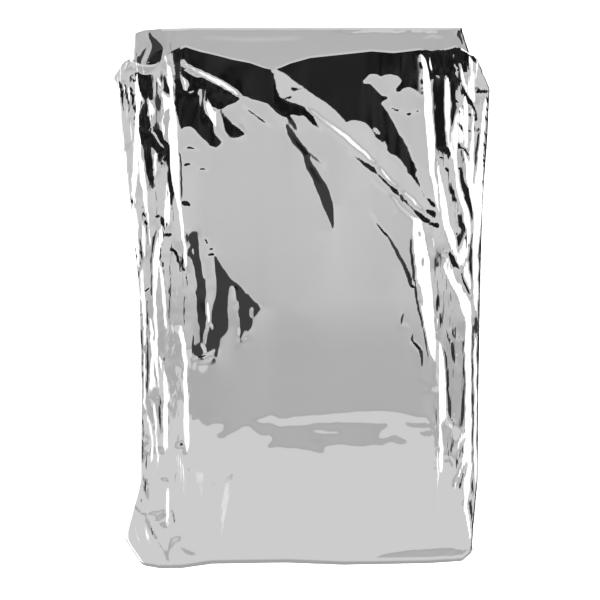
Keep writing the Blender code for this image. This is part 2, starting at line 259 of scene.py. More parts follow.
# The top of the front leaf falls away towards its fold.
TOP_FALLS = (
    Patch("top_left_fall", UP, (172, 50), (185, 42), (200, 46), (230, 54), (250, 58), (272, 69), (276, 86),
        (280, 98), (300, 110), (300, 118), (291, 113.8), (285, 117), (271, 108), (265.8, 103), (262, 103.5),
        (253, 100.4), (245.4, 96), (241.6, 96.5), (236.5, 103.5), (227.6, 105.5), (220.5, 110.6),
        (211, 122), (217.3, 134.8), (223, 142.4), (220, 147.6), (215.4, 149.8), (209.7, 146.3),
        (197, 134.8), (190.6, 127), (184.2, 127.8), (181, 131), (177, 120), (174.6, 105), (173, 80)),
    Patch("top_right_fall", UP, (273, 66), (285, 58), (310, 53), (350, 49), (375, 46), (400, 48), (419, 45),
        (440, 47), (456, 41), (466, 47), (480, 58), (476, 62), (470, 76), (462, 72), (456, 90), (446, 80),
        (424, 78), (423.5, 98), (419, 96), (414.6, 89.6), (409, 87), (401, 89), (400.5, 93), (397, 93),
        (394.5, 88.3), (399.8, 82.9), (400.5, 77.6), (394.5, 73.6), (386.4, 74.9), (381, 77.9),
        (375.7, 74.9), (370.4, 74.9), (362.3, 82.3), (370.4, 82.9), (377, 89.6), (382.4, 95), (388.4, 95.7),
        (389, 99), (382.4, 103), (389.8, 113.7), (395.8, 124.5), (401.2, 133.8), (407.9, 144.5),
        (413.2, 159.3), (417.9, 168.7), (416.6, 175.4), (419.9, 182), (425.3, 195.4), (435.3, 206),
        (436, 208.8), (422.6, 194), (420.6, 188.7), (415.9, 182.7), (407.9, 174.7), (403.8, 167.3),
        (395.8, 157.3), (389, 154), (382.4, 144.5), (375.7, 137.9), (369, 127), (363, 121.8),
        (352.3, 119.8), (346.2, 122.9), (330, 106.4), (312, 93.7), (303.4, 88.3), (290.5, 76.8), (279, 70)),
    Patch("left_shoulder_fall", UP, (134.4, 69.7), (140.8, 73), (151, 73.6), (156, 67.2), (161, 64.6),
        (166.3, 73.6), (169, 95), (160, 92.7), (161, 111.8), (156, 108), (151, 101.6), (147, 103),
        (143.4, 101.6), (137, 91.4), (135.7, 77.4)),
    Patch("left_ear_fall", UP_LEFT, (122, 62), (131, 56), (132, 60), (126, 64)),
)

# The fold that runs down from the top towards the right.
DIAGONAL = (
    Patch("start", PALE, (272.5, 70.5), (278.6, 70.8), (291, 77.5), (303, 88.8), (313, 95), (330, 107.4),
        (345.5, 124), (352, 121), (362, 123), (374, 139), (388, 156), (402.5, 168.5), (415, 184),
        (424, 199), (436, 211), (438, 224), (424, 211), (397, 187), (376, 163), (346, 138), (318, 117),
        (300, 103), (288, 99), (281, 98), (277, 87)),
    Line("dent", UP_RIGHT, (290, 88.3, 0.8), (303, 89.8, 1.6)),
    Line("dent_low", UP_LEFT, (284, 98.5, 1), (290, 97.5, 2.6), (293, 95, 0.8)),
    Line("spot", RIGHT, (275, 86, 1.2), (274.4, 97, 1.8)),
    Patch("back", PALE, (303, 104), (318, 116), (346, 138), (376, 163), (397, 187), (424, 211), (434, 222),
        (426, 219), (410, 203), (383, 177), (360, 158.5), (349, 150), (330, 133), (320, 120)),
    Line("shine", STEEP_LOW_LEFT, (307, 106.6, 0.6), (313.4, 112.4, 1.6), (330, 124.5, 2.6),
        (347, 137.5, 3.6), (362, 150.5, 3), (375.7, 163.3, 1.6)),
    Line("shine_middle", STEEP_LOW_LEFT, (378, 166, 0.8), (384, 173, 2.4), (390, 179.5, 1.4),
        (397, 187.4, 1.8)),
    Line("shine_end", STEEP_LOW_LEFT, (402, 191, 0.8), (411, 199, 2), (424, 211.5, 1.2)),
    Line("groove", UP_RIGHT, (346, 150.5, 0.5), (352, 155, 1.6), (359.6, 161, 2.6), (370.4, 168.5, 3.6),
        (383.7, 180.2, 4), (397, 193.5, 4), (410.5, 207, 3.6), (419, 215.5, 3.2), (425.3, 220.3, 2.4),
        (430, 222, 0.8)),
    Line("scratch", UP_RIGHT, (370, 177, 0.7), (379, 187, 2), (389, 194, 0.7)),
    Line("scratch_shine", STEEP_LOW_LEFT, (389, 194, 0.8), (397, 202.5, 2.2), (401, 208, 1),
        (413, 219.5, 1.6)),
    Line("scratch_branch", RIGHT, (404, 206, 0.7), (395, 217, 1.2)),
    Line("tongue_fleck", STEEP_LEFT, (374.8, 129, 0.8), (379, 133.5, 1.6)),
    Line("tongue_fleck_low", FLAT, (384, 141, 2.6), (386, 149, 2.6)),
    Line("island_fleck_a", FLECK, (391, 107.5, 1.4), (399, 110.5, 2)),
    Line("island_fleck_b", FLECK, (407, 114, 2.4), (410.5, 115.5, 2.8), (411, 111, 1.2)),
    Line("island_fleck_c", FLECK, (415, 110.5, 1), (418.5, 111, 2.2)),
    Line("tail_fleck_a", UP_RIGHT, (426, 211, 1), (433.4, 214, 4.4), (434, 218, 2.4)),
    Line("tail_fleck_b", FLECK, (427.6, 225.6, 1), (433, 225.4, 2.4), (437.8, 227, 1.2)),
    Line("tail_fleck_c", RIGHT, (425.5, 231, 1), (431, 237.5, 2)),
    Line("tail_fleck_d", RIGHT, (427, 229, 0.8), (430, 231.5, 1.6)),
)

# Dark curved dents on the panel, left of that fold.
PANEL_DENTS = (
    Line("dent_high", UP_RIGHT, (287, 104, 3), (294, 106.5, 8.4), (302, 110.5, 9), (310, 118, 7.4),
        (316, 125, 4.4), (321, 130, 1.2)),
    Line("dent_notch", RIGHT, (287.5, 116, 2), (290.5, 121.5, 4.6), (295, 127, 3.4), (299, 132, 1)),
    Line("crescent_top", RIB, (286, 126, 3), (289, 133, 7), (297, 143, 7.6), (303.6, 150.5, 7),
        (306.6, 156, 6)),
    Line("crescent_branch", RIB, (307, 153, 3), (314, 157.5, 4.4), (323.4, 164, 1.2)),
    Line("crescent_low", RIB, (305.6, 157, 5), (308.4, 166, 7), (314.6, 175, 8.6), (320, 185, 10.8),
        (324, 194, 12.4), (327.4, 203, 11.6), (330.2, 212, 8.6), (331.8, 220, 5.6), (332.4, 228, 1.6)),
    Line("crescent_nick", FLAT, (320.4, 188.6, 1.6), (321.8, 190.4, 1.6)),
    Line("right_slash", RIGHT, (370.2, 212.8, 0.6), (379, 226.8, 2.6), (389.3, 239.5, 3.2), (397, 253, 2.6),
        (402.5, 263, 1.8), (409, 278, 2.6), (411.6, 287, 2.4), (416, 289, 1)),
    Patch("blot", UP, (220.5, 113), (227.6, 118), (239, 127), (245.4, 133.5), (239, 138.6), (232.7, 140.5),
        (226.3, 134.8), (222.4, 128.4)),
    Line("blot_rim", STEEP_LEFT, (239, 123.6, 0.6), (243, 128, 1.2), (246.7, 133.5, 0.6)),
    Line("dash", UP_RIGHT, (243, 106.6, 1.2), (251, 112.5, 3.6), (263, 121, 4), (272, 127.4, 0.8)),
    Line("dent_left_a", UP, (183.5, 150, 1), (188, 147.5, 4.6), (199.5, 151, 0.8)),
    Line("dent_left_b", FLECK, (182.6, 165.6, 0.6), (187.5, 164.4, 1.8), (192.4, 164.6, 0.6)),
    Line("dent_left_c", FLECK, (199, 170.6, 0.6), (203.5, 169.6, 1.6), (208.6, 171.2, 0.5)),
    Line("dent_left_d", UP, (182.6, 204.4, 0.8), (187, 203.4, 2.8), (191.4, 206, 0.6)),
)

# Shines on the dark top left.
TOP_SHINES = (
    Line("glow_fork", GLOW, (206, 97, 2), (209, 106, 6), (213, 118, 6), (215, 127, 2)),
    Line("glow_drop", GLOW, (181.4, 70, 1.6), (184, 82, 4.4), (184.6, 92, 2)),
    Line("glow_spot", GLOW, (186, 92, 3), (192, 89, 6), (199, 88, 3)),
    Line("shine_left", STEEP_LOW_LEFT, (181.6, 60.8, 1), (190.6, 68.5, 1.6), (204, 74.5, 3.4),
        (220, 82.4, 4.6), (232, 90.5, 3.6), (240.3, 96.5, 1.4)),
    Line("shine_left_thin", STEEP_LOW_LEFT, (184.8, 69, 0.9), (192, 72.5, 2), (200, 77, 0.9)),
    Line("shine_left_drop", STEEP_LEFT, (182, 73.6, 1), (184.6, 82, 3.6), (184.2, 91.4, 1.2)),
    Line("shine_spot", FLAT, (188.5, 93, 2), (191.6, 91, 4), (195.4, 89.6, 1.6)),
    Line("shine_tick", STEEP_LEFT, (199.6, 86.3, 0.8), (200, 92.7, 1.4)),
    Patch("shine_fork", STEEP_LEFT, (204.6, 103), (207, 101.6), (208.6, 110), (214, 109.5), (219.3, 107),
        (217, 112), (213, 117), (216.4, 128.4), (214, 127), (206.6, 114.4), (204.3, 109)),
)

# The long pleats on the left, from the middle outwards.
LEFT_PLEATS = (
    Band("crease_top", STEEP_LEFT, (52, 160.5, 162.5), (60, 161.5, 168), (71, 164.5, 172.4),
        (90, 168.5, 172.6), (97, 170, 172.8), (108, 169.5, 174.6), (132, 168.4, 176.4), (154, 169.2, 178),
        (173, 169, 179.4), (186, 172.5, 179.2), (198.6, 175.4, 178.4), (210, 177.8, 178.8)),
    Band("crease_shade", RIGHT, (150, 178.2, 179.2), (160, 179, 181), (173, 179.6, 182), (190, 179.8, 183),
        (199, 179.6, 182.8), (206, 180, 181)),
    Band("crease_middle", STEEP_LEFT, (201, 178.8, 180.4), (225.5, 179.7, 182.9), (251, 182.8, 186),
        (262, 184, 187), (271, 185, 186.4)),
    Band("crease_sliver", RIGHT, (269, 185, 186), (281.6, 185.6, 187.8), (295, 186, 186.8)),
    Band("crease_fade", RIGHT, (240, 181.6, 182.2), (300, 183.2, 183.8), (330, 183.4, 184)),
    Band("crease_low", STEEP_LEFT, (326, 180, 181), (340, 181.6, 184.8), (365.8, 183.5, 186.4),
        (400, 184, 187.6), (431, 183.2, 189.2), (444, 184, 189.2), (452, 187, 189.6)),
    Band("inner_white", STEEP_LEFT, (180, 165.6, 167), (190, 165, 169.6), (200, 163.8, 170.2),
        (223, 163.6, 170), (229, 157.5, 164.6), (254, 153.2, 159.2), (271.4, 152.4, 157.6),
        (287, 153.6, 156.4), (296, 153.6, 155.2), (327.6, 154.8, 156.3), (353, 155, 156.4),
        (378.6, 156.4, 158.4), (400, 157.5, 160.5), (420, 161, 163.6), (450, 162.6, 165)),
    Band("inner_shine", STEEP_LEFT, (262, 160, 160.8), (275, 160.8, 163), (300, 162.4, 164.6),
        (321, 164, 166), (330, 165.8, 166.4)),
    Band("wedge_white", STEEP_LEFT, (100, 147.5, 148.5), (104, 147.2, 151.5), (112, 147, 155.5),
        (120.8, 147.6, 149.6)),
    Band("triangle_white", STEEP_LEFT, (92.7, 160.6, 161.2), (97.8, 160.8, 170.6), (106.7, 161, 171.8),
        (111.8, 161, 162.6)),
    Band("thin_white", STEEP_LEFT, (113, 162, 163), (125, 160.8, 163.6), (138.6, 162.6, 163.4)),
    Band("lower_white", STEEP_LEFT, (149, 154.4, 155.6), (158, 153.2, 156.8), (170, 153, 156),
        (178, 153.6, 154.4)),
    Line("top_tick", STEEP_LEFT, (156.5, 77, 1), (158.6, 80.5, 2.4), (161.4, 85.4, 0.8)),
    Band("pleat_dark", DEEP_RIGHT, (103, 139.5, 147), (109, 138.9, 147), (119.5, 139, 146.8),
        (128.4, 139.4, 148.5), (132, 139.5, 149), (147.6, 142, 151), (164, 144.6, 152.4),
        (175.6, 147.2, 153.2), (184.5, 149, 153.6), (187.5, 150.4, 152.4)),
    Patch("inner_dark", DEEP_RIGHT, (149, 128), (156, 124.5), (160, 131), (163, 139), (169, 143),
        (167.6, 150), (166.3, 154), (157.4, 161.6), (157.4, 152.7), (152, 148), (149, 138)),
    Line("inner_grey", FLAT, (152, 132, 3), (158, 141, 3.4), (163, 147, 2)),
    Line("dash", FLECK, (158, 165.6, 0.8), (161.5, 163.8, 1.8), (164, 165.6, 0.7)),
    Band("outer_white", STEEP_LEFT, (46, 131.5, 133), (62, 132, 134.4), (72, 132.2, 138),
        (84, 133.8, 136.6), (99, 135.4, 143), (110, 135.4, 138.4), (130, 134.6, 138.6), (147.6, 134, 140.4),
        (160, 132.6, 137), (178, 131, 137), (196, 131, 135), (204, 134, 136)),
    Band("second_white", STEEP_LEFT, (152, 138.4, 139.4), (166, 138.6, 143), (180, 139.8, 145.6),
        (196, 142.4, 147.6), (210, 144.6, 148.6), (232, 147.4, 149.6), (250, 151, 152.6)),
    Line("outer_speck", UP_LEFT, (131.4, 204.6, 1), (135, 201, 4.2), (137.6, 197, 1.4)),
    Patch("tip", SHEEN, (132.4, 58), (137, 61), (142, 62), (150, 62.4), (158, 62.4), (157, 66.6), (151, 73),
        (146, 75), (140.8, 74), (136, 69), (133, 65)),
    Band("outer_white_low", STEEP_LEFT, (206, 130.4, 133), (213, 131.9, 137), (230, 132.6, 137.4),
        (245, 133.6, 137.6), (262, 136.4, 139), (276, 138.4, 139.6)),
    Band("outer_line", RIGHT, (214, 129.4, 130), (230, 131, 132.2), (248.5, 133.4, 134.4),
        (276.5, 137.4, 138.6), (292, 139, 140.2)),
    Band("third_white", STEEP_LEFT, (222, 142, 143), (232, 141, 144.6), (250, 140.8, 144.8),
        (262, 141.6, 143.8), (276, 140.4, 142.4), (286, 140, 142.2), (300, 140.2, 141.8)),
    Band("third_dark", RIGHT, (238, 138.4, 139), (255, 139.6, 143), (262, 139.8, 143.6), (269, 140, 141)),
    Band("third_shade", RIGHT, (214, 144.8, 145.4), (230, 145.8, 147.8), (243, 147.4, 148.2)),
    Patch("black_wedge", UP_LEFT, (142.5, 292.6), (147.2, 288), (152.8, 286), (151.9, 291.2), (144, 294)),
    Band("long_line", RIGHT, (240, 170.6, 172.8), (247, 170, 173), (271.4, 168.8, 172.2), (290, 168.2, 172),
        (297.5, 168.4, 172.2)),
    Band("long_line_low", RIGHT, (299, 167.8, 171), (312, 167.4, 170.4), (322, 167.6, 169.6)),
    Band("inner_line", RIGHT, (228, 154.6, 156.6), (242, 151.6, 153.8), (258, 149.8, 152.2),
        (280, 149.6, 152), (300, 150.6, 152.6)),
    Band("edge_shine", STEEP_LEFT, (284, 141.4, 143.4), (304, 142.4, 144.8), (326, 142.8, 145.2),
        (346, 143, 145)),
    Band("edge_shade", RIGHT, (300, 145.6, 147.8), (318, 145.8, 148), (334, 145.6, 147.4)),
    Line("sliver_a", RIGHT, (173.2, 247, 0.8), (176.6, 255.5, 3.8), (177.4, 264, 1)),
    Line("sliver_b", RIGHT, (162.4, 257.4, 1.2), (161.4, 263.4, 3)),
    Line("sliver_c", RIGHT, (162.8, 262, 0.9), (164.6, 279, 1.2)),
    Line("tick_a", FLECK, (154.5, 218, 0.8), (159.4, 216.4, 1.6)),
    Line("tick_b", UP_LEFT, (162.4, 225.4, 2), (164, 221.4, 3)),
    Line("tick_c", FLECK, (166.6, 235.2, 0.8), (172, 235.2, 1.4)),
    Line("speck_low", FLECK, (139.4, 316, 3), (141, 313, 1.4)),
    Band("outer_line_low", RIGHT, (330, 140.4, 141.2), (353, 141.2, 142.8), (378.6, 141, 143.4),
        (410, 140.9, 143), (440, 141, 142.4), (464, 141.2, 142.2)),
    Band("outer_shine_low", STEEP_LEFT, (352, 143.8, 144.4), (372, 143.7, 145.5), (400, 143.9, 145.4),
        (412, 144.4, 145.2)),
    Band("second_line_low", RIGHT, (340, 146, 146.6), (352, 146.2, 147.8), (378.6, 146.4, 148.4),
        (396, 146.4, 147.8), (404, 146.2, 147)),
    Band("second_shine_low", STEEP_LEFT, (318, 149, 150.6), (336, 150.4, 152.4), (352, 151.4, 153.4),
        (372, 149.4, 153.2), (386, 148.6, 155.6), (392, 149, 152)),
    Line("low_speck", RIGHT, (162.4, 354, 1), (164, 358, 3.6), (165.6, 363, 1.2)),
    Line("low_speck_b", RIGHT, (179.8, 361.6, 1), (183, 366, 2)),
    Band("fork_a", STEEP_LEFT, (356, 159, 160), (372, 162, 164.2), (388, 165.6, 168.6), (402, 167, 170)),
    Band("fork_b", STEEP_LEFT, (330, 176.6, 183), (334, 177.6, 184), (342, 180, 184.4)),
    Band("low_white", STEEP_LEFT, (402, 152.4, 153.4), (412, 153.6, 155.6), (431, 154.4, 156.2),
        (449, 155, 157.4), (464, 158, 159.4)),
    Band("low_white_b", STEEP_LEFT, (416, 146.6, 147.6), (428, 149, 151), (441, 150.4, 152.4),
        (462, 150.4, 151.8)),
    Band("low_dark", RIGHT, (390, 157.8, 159.4), (412, 158.6, 161), (420, 159.4, 161), (432, 160, 161)),
    Line("foot_speck", FLECK, (176.6, 446.6, 1.2), (182, 444.6, 4.2), (184.8, 443.6, 1.4)),
    Band("low_shine", STEEP_LEFT, (380, 161, 165), (392, 162.4, 167), (410, 163, 167.4),
        (430, 163.6, 167.4), (450, 164.4, 168.4)),
    Line("dash_low", RIGHT, (147, 451, 1.6), (145.6, 460, 3), (144.4, 469, 1.4)),
)

# The crumpled foot at the bottom left.
LEFT_FOOT = (
    Patch("shade", RIGHT, (143, 476), (146.8, 479), (147, 492), (142.4, 497), (141.6, 503), (139.4, 502),
        (140.8, 492)),
    Line("shine", STEEP_LEFT, (141.6, 495.4, 0.8), (143.6, 500, 2.8), (148.6, 509, 1)),
    Line("shine_long", STEEP_LEFT, (148.6, 509, 0.8), (157, 522, 1), (166, 533, 1.2)),
    Line("speck", FLECK, (162.6, 480, 1.6), (165.8, 481, 3.2)),
    Line("crumple_a", FLECK, (151, 512.6, 1.6), (158, 515.4, 2.4), (162, 512, 1.6)),
    Line("crumple_b", FLECK, (155.8, 520.6, 1.4), (162.8, 517.4, 1.6)),
    Line("crumple_c", RIGHT, (159, 522, 2.4), (164, 530, 1.2)),
    Band("white", STEEP_LEFT, (484, 165.6, 166.6), (488, 165.2, 168.6), (498, 165.4, 169),
        (510, 166.2, 168.6), (530, 166.4, 167.6)),
    Line("sliver", RIGHT, (170.6, 507, 0.7), (173.6, 518, 2.4), (176.4, 532, 1)),
    Line("knot", FLECK, (175.6, 541.4, 3), (177.4, 537.6, 2)),
    Line("knot_shine", STEEP_LEFT, (173.4, 541, 1.4), (175.6, 535.4, 1.6)),
    Line("line", RIGHT, (175, 543, 1.6), (170.4, 550, 1.8), (167.2, 557, 2.4), (169.6, 566, 3.6)),
    Line("line_b", RIGHT, (134.6, 506, 1.2), (146, 522, 1.2), (156, 540, 1.2), (166.6, 556, 0.9)),
    Line("hem_tick", RIGHT, (206, 544, 0.8), (208.4, 553, 1.4), (209.6, 561, 0.9)),
    Line("hem_tick_b", RIGHT, (203.2, 527, 0.7), (204.6, 536, 1.3)),
    Line("streak_a", SHEEN, (199, 452, 7), (200, 472, 11), (200.4, 494, 10.6), (198.6, 518, 6)),
    Line("streak_b", SHEEN, (233, 452, 6), (227.6, 480, 13), (223, 510, 12), (221, 540, 6)),
    Line("streak_c", HAZE, (177, 456, 5), (181, 470, 9.6), (183.4, 486, 8.4), (184.6, 500, 4)),
    Line("streak_e", HAZE, (188, 500, 1.6), (192, 528, 3.4), (197, 548, 1.6)),
    Line("crease", SOFT, (168.4, 462, 1), (172, 492, 1.6), (176, 530, 1.4)),
    Line("crease_b", SOFT, (188.6, 448, 1), (195, 490, 1.2), (203, 530, 1.6), (208.6, 556, 1.2)),
    Line("bag_crease", SOFT, (137.4, 504, 1.4), (150, 526, 2.2), (160, 545, 2), (166.6, 557, 1.4)),
    Line("bag_crease_b", SOFT, (149, 512, 1), (160, 528, 1.8), (168, 538, 1)),
    Line("bag_knot", SOFT, (171, 544, 3), (168, 556, 4.6), (170, 566, 5)),
    Line("hem_soft", SOFT, (176, 546, 1.4), (190, 554, 3), (208, 558, 1.6)),
    Line("bag_streak_a", SHEEN, (143, 520, 3), (148, 540, 6), (156, 558, 2)),
    Line("bag_streak_b", SHEEN, (133, 520, 2), (136, 536, 3.4), (142, 548, 2)),
)

# The dark ribbed patch left of the panel's middle.
RIBS = (
    Patch("head", RIB, (183.2, 235.7), (193, 231.6), (199, 232.8), (199, 244), (194.4, 243.4),
        (187.4, 242.8), (184.8, 239)),
    Band("a", RIB, (244, 191.6, 198.4), (252, 185.8, 199.2), (256, 186.6, 199.8), (260, 191.4, 201.4),
        (269, 193.6, 202.3), (276.5, 195, 203), (283, 196.6, 205.6), (287, 197, 204.6), (291, 193.6, 207),
        (297, 195.4, 206.6), (303, 196.2, 206), (311, 196.9, 206.6), (320, 197.5, 206.8),
        (327.6, 199.2, 206.6), (335, 200, 205), (343, 199.4, 203.4), (345, 199.6, 202.4)),
    Line("a_light", FLAT, (192.6, 248, 1.6), (193.2, 254, 1.8)),
    Line("a_nub", RIB, (205.6, 277, 1.6), (204, 283, 2.4)),
    Band("b", RIB, (257, 213.9, 214.5), (266, 214.4, 220.6), (273, 215, 226), (280, 215.3, 230.6),
        (288, 215.4, 229), (294, 215.4, 228.5), (302, 212.9, 228), (312, 211, 228.2), (322, 208.4, 228.8),
        (329, 207.8, 228.5), (334, 206.5, 225.6), (339, 205.7, 220.5), (345, 204.8, 220.2),
        (349, 208, 219.5), (355, 214.5, 216)),
    Line("b_light", FLAT, (218.6, 299.4, 1.6), (220.4, 297.6, 1.8)),
    Line("b_light_low", STEEP_LEFT, (209, 322.6, 1), (212.4, 327, 1.8)),
    Band("gap_shine", STEEP_LEFT, (302, 206.6, 207.4), (318, 207, 208.4), (328, 205.8, 207.8),
        (338, 203.4, 205)),
    Patch("c", RIB, (230.7, 279), (237.8, 282.9), (244.1, 290.6), (244.8, 295), (248, 294.1),
        (254.3, 300.8), (263.3, 307.1), (256.9, 312.9), (252.4, 318.6), (253.7, 322.4), (251.1, 327.6),
        (246.7, 332.7), (240.9, 336.5), (239.7, 328.8), (238.4, 321.2), (236.5, 312.2), (234.6, 302),
        (235.2, 296.9), (233.3, 288), (231.4, 287.4), (228.8, 288)),
    Line("c_light", FLAT, (250.6, 308, 1.2), (250.8, 317, 2.6)),
    Line("c_fleck", STEEP_LEFT, (236.4, 303, 1.6), (237, 307, 1.6)),
    Line("c_shine", STEEP_LEFT, (243, 336, 2.4), (246.4, 333, 1)),
    Line("c_tip", RIB, (236.8, 342.8, 1.4), (241, 341.4, 4.2), (245.2, 342, 2.6)),
    Line("fleck_a", FLECK, (204.8, 239, 1.4), (207.4, 243.6, 2.6)),
    Line("fleck_b", FLECK, (208.6, 249.8, 1.8), (212.8, 249.4, 2.6)),
    Line("fleck_c", FLECK, (207, 256.2, 1.6), (212.8, 254.6, 2.4)),
    Line("foot_spur", RIB, (191.4, 349.4, 2.6), (193.8, 335, 1.6)),
    Patch("foot", RIB, (189.6, 348), (195, 343.6), (202, 340), (209, 344), (217, 348), (214, 353),
        (207, 356), (198, 355.6), (192.6, 353)),
    Line("foot_arc", FLECK, (194, 358.4, 2), (202, 357.4, 3.2), (213, 352.4, 2.2)),
    Line("foot_arc_low", FLECK, (201, 362.6, 2.2), (207.4, 361, 3), (213, 359, 2)),
    Line("foot_shine", STEEP_LEFT, (201.6, 344.6, 0.8), (204, 350, 1.6), (206, 354, 0.8)),
)

